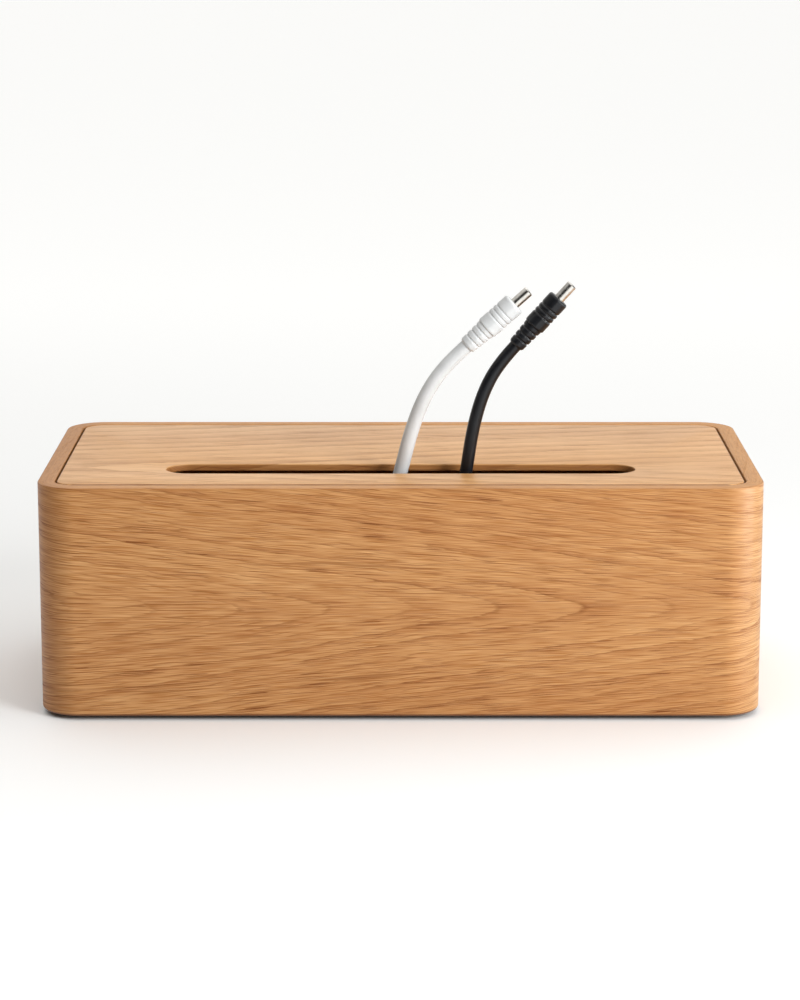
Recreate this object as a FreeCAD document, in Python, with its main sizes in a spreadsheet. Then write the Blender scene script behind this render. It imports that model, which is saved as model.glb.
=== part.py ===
"""A cable box of moulded oak ply with a lift-off lid, and the two leads that come up through the lid's slot.

Millimetres. The origin is on the surface that the box stands on, under the middle of the box.
+Z is up, and the front of the box looks towards -Y.
"""

import FreeCAD, Part
import Sketcher

import math
import os
import re

SIZES = {
    # The wall: one band of moulded ply, bent round the four corners.
    "box_width": 360.0,
    "box_depth": 180.0,
    "wall_height": 116.0,
    "wall_thickness": 8.5,
    "corner_radius": 20.0,
    "rim_round": 1.0,
    "foot_round": 2.0,
    "rim_ease": 0.6,
    # The base panel sits in a rabbet cut round the foot of the wall.
    "base_thickness": 6.0,
    "base_recess": 3.0,
    "rabbet_width": 4.0,
    "base_clearance": 0.3,
    # The rear port, for the lead that feeds a power strip.
    "port_width": 58.0,
    "port_height": 24.0,
    "port_rise": 8.0,
    "port_ease": 1.0,
    # Four rubber feet, screwed to the base panel.
    "foot_show": 2.0,
    "foot_radius": 9.0,
    "foot_bevel": 0.8,
    "foot_inset_side": 34.0,
    "foot_inset_front": 30.0,
    "foot_hole_clearance": 0.3,
    "foot_head_sink": 2.6,
    "foot_head_radius": 3.4,
    "foot_head_height": 1.6,
    "foot_shank_radius": 1.5,
    "foot_screw_length": 7.0,
    # Four strips screwed to the wall, on which the lid rests.
    "rest_width": 10.0,
    "rest_height": 9.0,
    "rest_end_gap": 2.0,
    "rest_chamfer": 1.5,
    "rest_shank_radius": 1.5,
    "rest_head_radius": 3.0,
    "rest_head_height": 1.8,
    "rest_screw_length": 15.0,
    "rest_hole_clearance": 0.3,
    "pilot_clearance": 0.1,
    "pilot_end_gap": 0.5,
    "screw_tip_length": 2.0,
    # The lid: a thin ply panel, flush with the rim, stiffened by two battens.
    "lid_gap": 1.0,
    "lid_thickness": 3.6,
    "lid_ease": 0.5,
    "slot_from_side": 61.5,
    "slot_width": 24.0,
    "slot_ahead": 40.5,
    "batten_width": 14.0,
    "batten_height": 7.0,
    "batten_chamfer": 1.5,
    "batten_end_gap": 1.0,
    "batten_from_rest": 17.0,
    # The leads: round cords, wound in two layers and laid on the base panel.
    "rest_clearance": 0.3,
    "coil_turns": 3.125,
    "turn_gap": 0.6,
    "white_cord_diameter": 7.2,
    "white_coil_width": 76.0,
    "black_cord_diameter": 6.5,
    "black_coil_width": 70.0,
    "tie_thickness": 1.2,
    "tie_width": 14.0,
    "tie_clearance": 0.4,
    # The moulded connectors on the leads' ends.
    "relief_length": 13.0,
    "relief_wall": 0.9,
    "relief_flare": 0.8,
    "grip_wall": 2.3,
    "grip_length": 19.0,
    "grip_round": 1.2,
    "grip_groove_depth": 0.5,
    "grip_groove_width": 1.4,
    "barrel_radius": 2.75,
    "barrel_bore_radius": 1.1,
    "barrel_length": 9.5,
    "barrel_wall": 0.8,
    "barrel_lead_in": 0.4,
    "barrel_clearance": 0.3,
    "contact_wall": 0.3,
    "contact_floor": 0.6,
    "contact_pin_radius": 0.9,
    # How far a cutting tool runs past what it cuts.
    "overrun": 1.0,
}

REST_SCREW_LONG_SHARES = (-0.4, 0.0, 0.4)
REST_SCREW_SHORT_SHARES = (-0.34, 0.34)
GRIP_GROOVE_SHARES = (0.32, 0.46, 0.6)

# The cords' free stretches, from the coil up through the slot, as points chosen by hand.
# The white one leaves its coil at the left, the black one at the right.
WHITE_ROUTE = [
    (-51.5, -1.0, 25.8),
    (-40.0, -12.5, 25.8),
    (-28.0, -24.5, 32.7),
    (-19.2, -33.3, 44.6),
    (-12.5, -38.8, 64.0),
    (-7.3, -40.5, 89.0),
    (0.2, -40.5, 117.0),
    (5.7, -40.5, 139.0),
    (13.0, -40.5, 157.5),
    (23.4, -40.5, 172.0),
    (33.2, -40.5, 180.8),
]
BLACK_ROUTE = [
    (66.5, -4.5, 24.8),
    (55.5, -15.5, 24.8),
    (44.3, -26.7, 31.8),
    (35.7, -34.8, 43.4),
    (30.2, -39.4, 62.0),
    (28.6, -40.5, 88.0),
    (33.2, -40.5, 117.0),
    (36.6, -40.5, 140.0),
    (41.8, -40.5, 158.0),
    (49.5, -40.5, 172.0),
    (57.7, -40.5, 181.0),
]

doc = FreeCAD.newDocument("CableBox")
sheet = doc.addObject("Spreadsheet::Sheet", "Sizes")
for row, (alias, amount) in enumerate(SIZES.items(), start=1):
    sheet.set(f"A{row}", alias)
    sheet.set(f"B{row}", str(amount))
    sheet.setAlias(f"B{row}", alias)
doc.recompute()


def cells(text):
    """A formula in the sizes' names, as an expression on the sheet."""
    return re.sub(r"[a-z_]{3,}", lambda word: f"Sizes.{word.group()}", text)


def real(text):
    """What a formula in the sizes' names comes to now."""
    return float(sheet.evalExpression(cells(text)))


# Heights and outlines that several pieces share, as formulas.
WALL_FOOT = "foot_show"
BASE_UNDER = "(foot_show + base_recess)"
BASE_TOP = "(foot_show + base_recess + base_thickness)"
RIM = "(foot_show + wall_height)"
LID_UNDER = "(foot_show + wall_height - lid_thickness)"
CAVITY_WIDTH = "(box_width - 2 * wall_thickness)"
CAVITY_DEPTH = "(box_depth - 2 * wall_thickness)"
CAVITY_RADIUS = "(corner_radius - wall_thickness)"
LID_WIDTH = f"({CAVITY_WIDTH} - 2 * lid_gap)"
LID_DEPTH = f"({CAVITY_DEPTH} - 2 * lid_gap)"
SLOT_LENGTH = "(box_width - 2 * slot_from_side)"
LONG_REST = f"({CAVITY_WIDTH} - 2 * {CAVITY_RADIUS} - 2 * rest_end_gap)"
SHORT_REST = f"({CAVITY_DEPTH} - 2 * {CAVITY_RADIUS} - 2 * rest_end_gap)"
REST_PILOT = "(rest_screw_length - rest_width + pilot_end_gap)"
REST_SCREW_DROP = f"({RIM} - lid_thickness - rest_height / 2)"


def new_body(name):
    body = doc.addObject("PartDesign::Body", name)
    body.Label = name
    return body


def new_sketch(body, name, plane="XY_Plane", offset="0"):
    """An empty sketch on one of the body's own origin planes, shifted along the plane's normal."""
    sketch = body.newObject("Sketcher::SketchObject", f"{body.Name}_{name}")
    origin_plane = next(f for f in body.Origin.OriginFeatures if f.Role == plane)
    sketch.AttachmentSupport = [(origin_plane, "")]
    sketch.MapMode = "FlatFace"
    sketch.setExpression("AttachmentOffset.Base.z", cells(offset))
    return sketch


def hold(sketch, kind, arguments, formula):
    """Adds one measured constraint and ties it to the sheet."""
    index = sketch.addConstraint(Sketcher.Constraint(kind, *arguments, real(formula)))
    sketch.renameConstraint(index, f"size{index}")
    sketch.setExpression(f"Constraints.size{index}", cells(formula))


def place(sketch, curve, end, x, y):
    """Ties one point of a curve to its distances from the sketch's origin."""
    hold(sketch, "DistanceX", (-1, 1, curve, end), x)
    hold(sketch, "DistanceY", (-1, 1, curve, end), y)


def point(x, y):
    return FreeCAD.Vector(real(x), real(y), 0)


def outline(sketch, corners):
    """A closed polygon, each corner a pair of formulas."""
    spots = [point(x, y) for x, y in corners]
    first = sketch.GeometryCount
    for start, end in zip(spots, spots[1:] + spots[:1]):
        sketch.addGeometry(Part.LineSegment(start, end))
    for index, (x, y) in enumerate(corners):
        place(sketch, first + index, 1, x, y)
        following = first + (index + 1) % len(corners)
        sketch.addConstraint(Sketcher.Constraint("Coincident", first + index, 2, following, 1))


def rounded(sketch, sides):
    """A closed outline of straight sides joined by arcs that leave each side along it.

    sides: for each side its start, its end and the centre of the arc that follows, as pairs of formulas."""
    first = sketch.GeometryCount
    for index, (start, end, centre) in enumerate(sides):
        following = sides[(index + 1) % len(sides)][0]
        middle = point(*centre)
        begin = point(*end)
        finish = point(*following)
        away = begin - middle
        turned = finish - middle
        sketch.addGeometry(Part.LineSegment(point(*start), begin))
        circle = Part.Circle(middle, FreeCAD.Vector(0, 0, 1), away.Length)
        first_angle = math.atan2(away.y, away.x)
        last_angle = math.atan2(turned.y, turned.x)
        sketch.addGeometry(Part.ArcOfCircle(circle, first_angle, last_angle))
    for index, (start, end, _) in enumerate(sides):
        side = first + 2 * index
        following = first + 2 * ((index + 1) % len(sides))
        place(sketch, side, 1, *start)
        place(sketch, side, 2, *end)
        sketch.addConstraint(Sketcher.Constraint("Tangent", side, 2, side + 1, 1))
        sketch.addConstraint(Sketcher.Constraint("Coincident", side + 1, 2, following, 1))


def rounded_rectangle(sketch, width, depth, radius):
    """A rectangle about the origin with rounded corners, drawn anticlockwise."""
    x, y = f"{width} / 2", f"{depth} / 2"
    cx, cy = f"({x} - {radius})", f"({y} - {radius})"
    rounded(
        sketch,
        [
            ((f"-{cx}", f"-({y})"), (cx, f"-({y})"), (cx, f"-{cy}")),
            ((x, f"-{cy}"), (x, cy), (cx, cy)),
            ((cx, y), (f"-{cx}", y), (f"-{cx}", cy)),
            ((f"-({x})", cy), (f"-({x})", f"-{cy}"), (f"-{cx}", f"-{cy}")),
        ],
    )


def stadium(sketch, length, width, across):
    """A slot with half-round ends along X, its middle at height across."""
    reach = f"(({length} - {width}) / 2)"
    low, high = f"({across} - {width} / 2)", f"({across} + {width} / 2)"
    rounded(
        sketch,
        [
            ((f"-{reach}", low), (reach, low), (reach, across)),
            ((reach, high), (f"-{reach}", high), (f"-{reach}", across)),
        ],
    )


def circles(sketch, centres, radius):
    for x, y in centres:
        curve = sketch.addGeometry(Part.Circle(point(x, y), FreeCAD.Vector(0, 0, 1), real(radius)))
        place(sketch, curve, 3, x, y)
        hold(sketch, "Radius", (curve,), radius)


def pad(body, sketch, length):
    feature = body.newObject("PartDesign::Pad", f"{sketch.Name}_pad")
    feature.Profile = sketch
    feature.setExpression("Length", cells(length))
    sketch.Visibility = False
    doc.recompute()
    return feature


def pocket(body, sketch, depth, along_normal=False):
    """Cuts against the sketch plane's normal, or along it, and refuses a cut that takes nothing away."""
    before = body.Tip.Shape.Volume
    feature = body.newObject("PartDesign::Pocket", f"{sketch.Name}_pocket")
    feature.Profile = sketch
    feature.Reversed = along_normal
    feature.setExpression("Length", cells(depth))
    doc.recompute()
    if not feature.Shape.Volume < before:
        raise RuntimeError(f"{feature.Name} cuts nothing")
    return feature


def revolve(body, sketch):
    """Turns a profile in the XZ plane about Z."""
    feature = body.newObject("PartDesign::Revolution", f"{sketch.Name}_revolution")
    feature.Profile = sketch
    feature.ReferenceAxis = (sketch, ["V_Axis"])
    feature.Angle = 360
    doc.recompute()
    return feature


def soften(body, name, chosen, size, kind="Fillet"):
    """A fillet or a chamfer on the edges of the body's tip that chosen() accepts."""
    base = body.Tip
    edges = [f"Edge{n}" for n, edge in enumerate(base.Shape.Edges, start=1) if chosen(edge)]
    feature = body.newObject(f"PartDesign::{kind}", f"{body.Name}_{name}")
    feature.Base = (base, edges)
    feature.setExpression("Radius" if kind == "Fillet" else "Size", cells(size))
    doc.recompute()
    return feature


def near(amount, formula):
    return abs(amount - real(formula)) < real("overrun") / 1000


def level(edge, formula):
    """Whether the whole edge lies at one height."""
    return near(edge.BoundBox.ZMin, formula) and near(edge.BoundBox.ZMax, formula)


def inside_wall(spot):
    """How far a point lies inside the wall's outer face, seen from above."""
    radius = real("corner_radius")
    dx = abs(spot.x) - real("box_width / 2") + radius
    dy = abs(spot.y) - real("box_depth / 2") + radius
    beyond = math.hypot(max(dx, 0), max(dy, 0)) + min(max(dx, dy), 0)
    return radius - beyond


def follows_wall(edge, inset):
    """Whether the edge runs at one distance inside the wall's outer face."""
    return all(near(inside_wall(vertex.Point), inset) for vertex in edge.Vertexes)


# One side each: its name, the plane its sketches lie on, the way the wall is from the middle,
# the length of its lid rest and where the screws are along it.
SIDES = [
    ("front", "XZ_Plane", (0, -1), LONG_REST, REST_SCREW_LONG_SHARES),
    ("back", "XZ_Plane", (0, 1), LONG_REST, REST_SCREW_LONG_SHARES),
    ("left", "YZ_Plane", (-1, 0), SHORT_REST, REST_SCREW_SHORT_SHARES),
    ("right", "YZ_Plane", (1, 0), SHORT_REST, REST_SCREW_SHORT_SHARES),
]


def wall_band():
    """The moulded wall: a band with eased rims, a rabbet for the base, a rear port and screw pilots."""
    body = new_body("wall_band")
    outer = new_sketch(body, "outer", offset=WALL_FOOT)
    rounded_rectangle(outer, "box_width", "box_depth", "corner_radius")
    pad(body, outer, "wall_height")
    cavity = new_sketch(body, "cavity", offset=f"{RIM} + overrun")
    rounded_rectangle(cavity, CAVITY_WIDTH, CAVITY_DEPTH, CAVITY_RADIUS)
    pocket(body, cavity, "wall_height + 2 * overrun")
    rabbet = new_sketch(body, "rabbet", offset=f"{WALL_FOOT} - overrun")
    rounded_rectangle(
        rabbet,
        f"({CAVITY_WIDTH} + 2 * rabbet_width)",
        f"({CAVITY_DEPTH} + 2 * rabbet_width)",
        f"({CAVITY_RADIUS} + rabbet_width)",
    )
    pocket(body, rabbet, "base_recess + base_thickness + overrun", along_normal=True)
    soften(body, "upper_round", lambda e: level(e, RIM) and follows_wall(e, "0"), "rim_round")
    soften(body, "lower_round", lambda e: level(e, WALL_FOOT) and follows_wall(e, "0"), "foot_round")
    soften(body, "rim_ease", lambda e: level(e, RIM) and follows_wall(e, "wall_thickness"), "rim_ease")
    port = new_sketch(body, "port", "XZ_Plane", "-(box_depth / 2 - wall_thickness - overrun)")
    stadium(port, "port_width", "port_height", f"({BASE_TOP} + port_rise + port_height / 2)")
    pocket(body, port, "wall_thickness + 2 * overrun")

    def at_port(edge):
        spot = edge.CenterOfMass
        on_face = near(spot.y, "box_depth / 2") or near(spot.y, "box_depth / 2 - wall_thickness")
        across = abs(spot.x) <= real("port_width / 2")
        up = real(f"{BASE_TOP} + port_rise - overrun") < spot.z
        down = spot.z < real(f"{BASE_TOP} + port_rise + port_height + overrun")
        return on_face and across and up and down

    soften(body, "port_ease", at_port, "port_ease", "Chamfer")
    for side, plane, (x, y), length, shares in SIDES:
        # The sketch planes' normals are -Y and +X.
        normal = x - y
        reach = CAVITY_WIDTH if x else CAVITY_DEPTH
        pilots = new_sketch(body, f"{side}_pilots", plane, f"{normal} * {reach} / 2")
        centres = [(f"({share}) * {length}", REST_SCREW_DROP) for share in shares]
        circles(pilots, centres, "rest_shank_radius + pilot_clearance")
        pocket(body, pilots, REST_PILOT, along_normal=normal > 0)
    return body


def foot_spots():
    """The four feet: name, and the place of each as a pair of formulas."""
    x, y = "(box_width / 2 - foot_inset_side)", "(box_depth / 2 - foot_inset_front)"
    return [
        ("front_left", f"-{x}", f"-{y}"),
        ("front_right", x, f"-{y}"),
        ("back_left", f"-{x}", y),
        ("back_right", x, y),
    ]


def base_panel():
    """The base, let into the wall's rabbet from below, with pilots for the foot screws."""
    body = new_body("base_panel")
    plan = new_sketch(body, "plan", offset=BASE_UNDER)
    growth = "2 * (rabbet_width - base_clearance)"
    rounded_rectangle(
        plan,
        f"({CAVITY_WIDTH} + {growth})",
        f"({CAVITY_DEPTH} + {growth})",
        f"({CAVITY_RADIUS} + rabbet_width - base_clearance)",
    )
    pad(body, plan, "base_thickness")
    pilots = new_sketch(body, "pilots", offset=BASE_UNDER)
    circles(pilots, [(x, y) for _, x, y in foot_spots()], "foot_shank_radius + pilot_clearance")
    in_base = "(foot_screw_length + foot_head_sink - foot_show - base_recess)"
    pocket(body, pilots, f"{in_base} + pilot_end_gap", along_normal=True)
    return body


def foot(name, x, y):
    """A turned rubber foot with a bevelled rim and a sunk seat for its screw's head."""
    body = new_body(f"foot_{name}")
    section = new_sketch(body, "section", "XZ_Plane")
    hole = "foot_shank_radius + foot_hole_clearance"
    seat = "foot_head_radius + foot_hole_clearance"
    outline(
        section,
        [
            (seat, "0"),
            ("foot_radius - foot_bevel", "0"),
            ("foot_radius", "foot_bevel"),
            ("foot_radius", BASE_UNDER),
            (hole, BASE_UNDER),
            (hole, "foot_head_sink"),
            (seat, "foot_head_sink"),
        ],
    )
    revolve(body, section)
    body.setExpression("Placement.Base.x", cells(x))
    body.setExpression("Placement.Base.y", cells(y))
    return body


def lid_rest(side, way, length, shares):
    """One strip under the lid, screwed to the wall. It is drawn along X with the wall at its back."""
    body = new_body(f"lid_rest_{side}")
    plan = new_sketch(body, "plan", offset=f"{LID_UNDER} - rest_height")
    half = f"({length} / 2)"
    outline(
        plan,
        [(f"-{half}", "0"), (half, "0"), (half, "rest_width"), (f"-{half}", "rest_width")],
    )
    pad(body, plan, "rest_height")

    def lower_inner(edge):
        return level(edge, f"{LID_UNDER} - rest_height") and near(edge.CenterOfMass.y, "rest_width")

    soften(body, "lower_edge", lower_inner, "rest_chamfer", "Chamfer")
    holes = new_sketch(body, "holes", "XZ_Plane", "-rest_width")
    circles(
        holes,
        [(f"({share}) * {length}", REST_SCREW_DROP) for share in shares],
        "rest_shank_radius + rest_hole_clearance",
    )
    doc.recompute()
    hole = body.newObject("PartDesign::Hole", f"{body.Name}_hole")
    hole.Profile = holes
    hole.DepthType = "ThroughAll"
    hole.Reversed = True
    hole.ThreadType = "None"
    hole.setExpression("Diameter", cells("2 * (rest_shank_radius + rest_hole_clearance)"))
    hole.HoleCutType = "Countersink"
    hole.setExpression("HoleCutDiameter", cells("2 * (rest_head_radius + rest_hole_clearance)"))
    hole.HoleCutCountersinkAngle = countersink_angle()
    doc.recompute()
    turn = math.degrees(math.atan2(way[1], way[0])) + 90
    across = real(CAVITY_WIDTH if way[0] else CAVITY_DEPTH) / 2
    spot = FreeCAD.Vector(way[0] * across, way[1] * across, 0)
    body.Placement = FreeCAD.Placement(spot, FreeCAD.Rotation(FreeCAD.Vector(0, 0, 1), turn))
    return body


def countersink_angle():
    """The full angle, in degrees, of the rest screws' heads."""
    spread = real("rest_head_radius - rest_shank_radius")
    return 2 * math.degrees(math.atan2(spread, real("rest_head_height")))


def turned(profile):
    """A solid of revolution about Z from (radius, height) pairs."""
    spots = [FreeCAD.Vector(radius, 0, height) for radius, height in profile]
    face = Part.Face(Part.makePolygon(spots + spots[:1]))
    return face.revolve(FreeCAD.Vector(0, 0, 0), FreeCAD.Vector(0, 0, 1), 360)


def group(name, solids):
    feature = doc.addObject("Part::Feature", name)
    feature.Label = name
    feature.Shape = Part.makeCompound(solids)
    return feature


def rest_screws():
    """Countersunk wood screws through the lid rests, ten alike."""
    head, shank = real("rest_head_radius"), real("rest_shank_radius")
    height, length, tip = real("rest_head_height"), real("rest_screw_length"), real("screw_tip_length")
    profile = [(0, 0), (head, 0), (shank, -height), (shank, tip - length), (0, -length)]
    screw = turned(profile)
    solids = []
    for _, _, (x, y), along, shares in SIDES:
        across = real(CAVITY_WIDTH if x else CAVITY_DEPTH) / 2 - real("rest_width")
        for share in shares:
            slide = share * real(along)
            spot = FreeCAD.Vector(x * across - y * slide, y * across + x * slide, real(REST_SCREW_DROP))
            inward = FreeCAD.Rotation(FreeCAD.Vector(0, 0, 1), FreeCAD.Vector(-x, -y, 0))
            copy = screw.copy()
            copy.Placement = FreeCAD.Placement(spot, inward)
            solids.append(copy)
    return group("rest_screws", solids)


def foot_screws():
    """Round-headed wood screws up through the feet, four alike."""
    head, shank = real("foot_head_radius"), real("foot_shank_radius")
    height, length, tip = real("foot_head_height"), real("foot_screw_length"), real("screw_tip_length")
    rim = height / 2
    profile = [(0, -height), (head - rim, -height), (head, -rim), (head, 0)]
    profile += [(shank, 0), (shank, length - tip), (0, length)]
    screw = turned(profile)
    solids = []
    for _, x, y in foot_spots():
        copy = screw.copy()
        copy.Placement.Base = FreeCAD.Vector(real(x), real(y), real("foot_head_sink"))
        solids.append(copy)
    return group("foot_screws", solids)


def lid_panel():
    """The lid: a flush panel with a long slot near its front."""
    body = new_body("lid_panel")
    plan = new_sketch(body, "plan", offset=LID_UNDER)
    rounded_rectangle(plan, LID_WIDTH, LID_DEPTH, f"({CAVITY_RADIUS} - lid_gap)")
    pad(body, plan, "lid_thickness")
    slot = new_sketch(body, "slot", offset=f"{RIM} + overrun")
    stadium(slot, SLOT_LENGTH, "slot_width", "(-slot_ahead)")
    pocket(body, slot, "lid_thickness + 2 * overrun")
    soften(body, "top_ease", lambda edge: level(edge, RIM), "lid_ease")
    return body


def lid_batten(side, sign):
    """A batten glued across the lid's underside, clear of the rests at both ends."""
    body = new_body(f"lid_batten_{side}")
    plan = new_sketch(body, "plan", offset=f"{LID_UNDER} - batten_height")
    far_reach = f"({CAVITY_WIDTH} / 2 - rest_width - batten_from_rest)"
    far_edge = f"{sign} * {far_reach}"
    near_edge = f"{sign} * ({far_reach} - batten_width)"
    end = f"({CAVITY_DEPTH} / 2 - rest_width - batten_end_gap)"
    corners = [(near_edge, f"-{end}"), (far_edge, f"-{end}"), (far_edge, end), (near_edge, end)]
    outline(plan, corners)
    pad(body, plan, "batten_height")

    def lower_long(edge):
        return level(edge, f"{LID_UNDER} - batten_height") and near(edge.CenterOfMass.y, "0")

    soften(body, "lower_edges", lower_long, "batten_chamfer", "Chamfer")
    return body


def arc_at(corner, start, end):
    """The arc that leaves start towards corner and reaches end coming from corner, both as far from it."""
    back = (start - corner).normalize()
    ahead = (end - corner).normalize()
    half = (math.pi - back.getAngle(ahead)) / 2
    radius = (start - corner).Length / math.tan(half)
    inward = (back + ahead).normalize()
    crown = corner + inward * (radius / math.cos(half) - radius)
    return Part.Arc(start, crown, end), radius


def route_edges(points):
    """Straight runs joined by arcs, each as large as its two runs allow. Returns the edges and the radii."""
    arc_share = 0.45
    edges, radii = [], []
    here = points[0]
    for before, corner, after in zip(points, points[1:], points[2:]):
        trim = arc_share * min((corner - before).Length, (after - corner).Length)
        start = corner + (before - corner).normalize() * trim
        end = corner + (after - corner).normalize() * trim
        arc, radius = arc_at(corner, start, end)
        edges += [Part.LineSegment(here, start).toShape(), arc.toShape()]
        radii.append(radius)
        here = end
    edges.append(Part.LineSegment(here, points[-1]).toShape())
    return edges, radii


def tube(name, edges, diameter):
    """A round tube along the edges, with its volume held against section times length."""
    path = Part.Wire(edges)
    start = edges[0].valueAt(edges[0].FirstParameter)
    along = edges[0].tangentAt(edges[0].FirstParameter)
    ring = Part.Wire(Part.makeCircle(diameter / 2, start, along))
    shell = Part.BRepOffsetAPI.MakePipeShell(path)
    shell.add(ring)
    shell.build()
    shell.makeSolid()
    solid = shell.shape()
    section = math.pi * diameter**2 / 4
    share = solid.Volume / (section * path.Length)
    print(f"{name}: {path.Length:.1f} mm long, volume {share:.4f} of section times length")
    if abs(share - 1) > 0.01:
        raise RuntimeError(f"{name} isn't a whole tube")
    feature = doc.addObject("Part::Feature", name)
    feature.Label = name
    feature.Shape = solid
    return feature


def coil_line(diameter, width, end, leaving, sense, tail_height):
    """The wound turns, as a function of the share of the way along them.

    They settle from the socket's height onto the base, spiral in, climb a layer in the half turn
    where they come back, and spiral out on top, over the raised tail, to end at the given place.
    Returns the functions that give place and direction, and the coil's centre."""
    turns = real("coil_turns")
    pitch = diameter + real("turn_gap")
    outer = width / 2 + pitch * turns / 4
    low = real(f"{BASE_TOP} + rest_clearance + tie_thickness + tie_clearance") + diameter / 2
    raised = tail_height - low
    climb = end.z - low - raised
    slant = math.atan2(pitch / math.tau, outer)
    last_angle = math.atan2(leaving.y, leaving.x) - sense * (math.tau / 4 - slant)
    start_angle = last_angle - sense * math.tau * turns
    centre = end - FreeCAD.Vector(math.cos(last_angle), math.sin(last_angle), 0) * outer

    def ease(amount):
        kept = min(max(amount, 0), 1)
        return kept * kept * (3 - 2 * kept)

    def place_at(share):
        wound = share * turns
        radius = outer - pitch * min(wound, turns - wound)
        angle = start_angle + sense * math.tau * wound
        over_tail = ease(2 * wound) - ease(2 * (wound - turns) + 1)
        height = tail_height - raised * over_tail + climb * ease(2 * wound - turns + 0.5)
        return FreeCAD.Vector(
            centre.x + radius * math.cos(angle), centre.y + radius * math.sin(angle), height
        )

    def direction_at(share):
        step = 1e-5
        first, last = max(share - step, 0), min(share + step, 1)
        along = (place_at(last) - place_at(first)).normalize()
        if first == 0 or last == 1:
            along.z = 0
        return along.normalize()

    return place_at, direction_at, centre


def biarc(first, leaving, last, arriving):
    """Two arcs between two places that keep both directions."""
    across = last - first
    both = leaving + arriving
    spread = 2 * (1 - leaving.dot(arriving))
    reach = (math.sqrt(across.dot(both) ** 2 + spread * across.dot(across)) - across.dot(both)) / spread
    near_corner = first + leaving * reach
    far_corner = last - arriving * reach
    middle = (near_corner + far_corner) / 2
    arcs = [arc_at(near_corner, first, middle)[0], arc_at(far_corner, middle, last)[0]]
    return [arc.toShape() for arc in arcs]


def least_gap(name, edges, diameter):
    """Prints the least distance between two turns' surfaces, measured on points along the path.

    Returns the points."""
    line = []
    for edge in edges:
        line += edge.discretize(Distance=diameter / 3)[:-1]
    skip = 8
    gap = min(
        (line[i] - line[j]).Length
        for i in range(len(line))
        for j in range(i + skip, len(line))
    ) - diameter
    print(f"{name}: least gap between turns {gap:.2f} mm")
    return line


def aligned(first, second, name):
    """The placement of a connector that starts at the first place and points to the second."""
    axis = (second - first).normalize()
    print(f"{name}: at {tuple(round(v, 2) for v in first)} along {tuple(round(v, 3) for v in axis)}")
    return FreeCAD.Placement(first, FreeCAD.Rotation(FreeCAD.Vector(0, 0, 1), axis))


def relief(name, diameter, placement):
    """A strain relief that widens from the cord to the grip."""
    body = new_body(name)
    section = new_sketch(body, "section", "XZ_Plane")
    thin = f"({diameter} / 2 + relief_wall)"
    wide = f"({diameter} / 2 + relief_wall + relief_flare)"
    outline(
        section,
        [
            ("0", "0"),
            (f"{thin} - relief_wall / 2", "0"),
            (thin, "relief_wall"),
            (wide, "relief_length"),
            ("0", "relief_length"),
        ],
    )
    revolve(body, section)
    body.Placement = placement
    return body


def grip(name, diameter, placement, bored):
    """The moulded grip of a connector, with grip grooves, and a bore where it is a socket."""
    body = new_body(name)
    section = new_sketch(body, "section", "XZ_Plane")
    start, end = "relief_length", "(relief_length + grip_length)"
    radius = f"({diameter} / 2 + grip_wall)"
    corners = [("0", start), (f"{radius} - grip_round", start), (radius, f"{start} + grip_round")]
    for share in GRIP_GROOVE_SHARES:
        low = f"{start} + {share} * grip_length"
        corners += [
            (radius, low),
            (f"{radius} - grip_groove_depth", f"{low} + grip_groove_width / 2"),
            (radius, f"{low} + grip_groove_width"),
        ]
    corners += [(radius, f"{end} - grip_round"), (f"{radius} - grip_round", end)]
    if bored:
        bore = "(barrel_radius + barrel_clearance + contact_wall + barrel_clearance)"
        floor = f"({end} - barrel_length - contact_floor)"
        corners += [(bore, end), (bore, floor), ("0", floor)]
    else:
        corners += [("0", end)]
    outline(section, corners)
    revolve(body, section)
    body.Placement = placement
    return body


def barrel(name, placement):
    """The plug's hollow metal barrel."""
    body = new_body(name)
    section = new_sketch(body, "section", "XZ_Plane")
    seat = "(relief_length + grip_length)"
    tip = "(relief_length + grip_length + barrel_length)"
    outline(
        section,
        [
            ("0", seat),
            ("barrel_radius", seat),
            ("barrel_radius", f"{tip} - barrel_lead_in"),
            ("barrel_radius - barrel_lead_in", tip),
            ("barrel_bore_radius", tip),
            ("barrel_bore_radius", f"{seat} + barrel_wall"),
            ("0", f"{seat} + barrel_wall"),
        ],
    )
    revolve(body, section)
    body.Placement = placement
    return body


def contact(name, placement):
    """The socket's sleeve and pin, one metal piece in the grip's bore."""
    body = new_body(name)
    section = new_sketch(body, "section", "XZ_Plane")
    mouth = "(relief_length + grip_length - barrel_lead_in)"
    floor = "(relief_length + grip_length - barrel_length - contact_floor)"
    inner = "(barrel_radius + barrel_clearance)"
    outer = "(barrel_radius + barrel_clearance + contact_wall)"
    outline(
        section,
        [
            ("0", floor),
            (outer, floor),
            (outer, mouth),
            (inner, mouth),
            (inner, f"{floor} + contact_floor"),
            ("contact_pin_radius", f"{floor} + contact_floor"),
            ("contact_pin_radius", mouth),
            ("0", mouth),
        ],
    )
    revolve(body, section)
    body.Placement = placement
    return body


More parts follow.
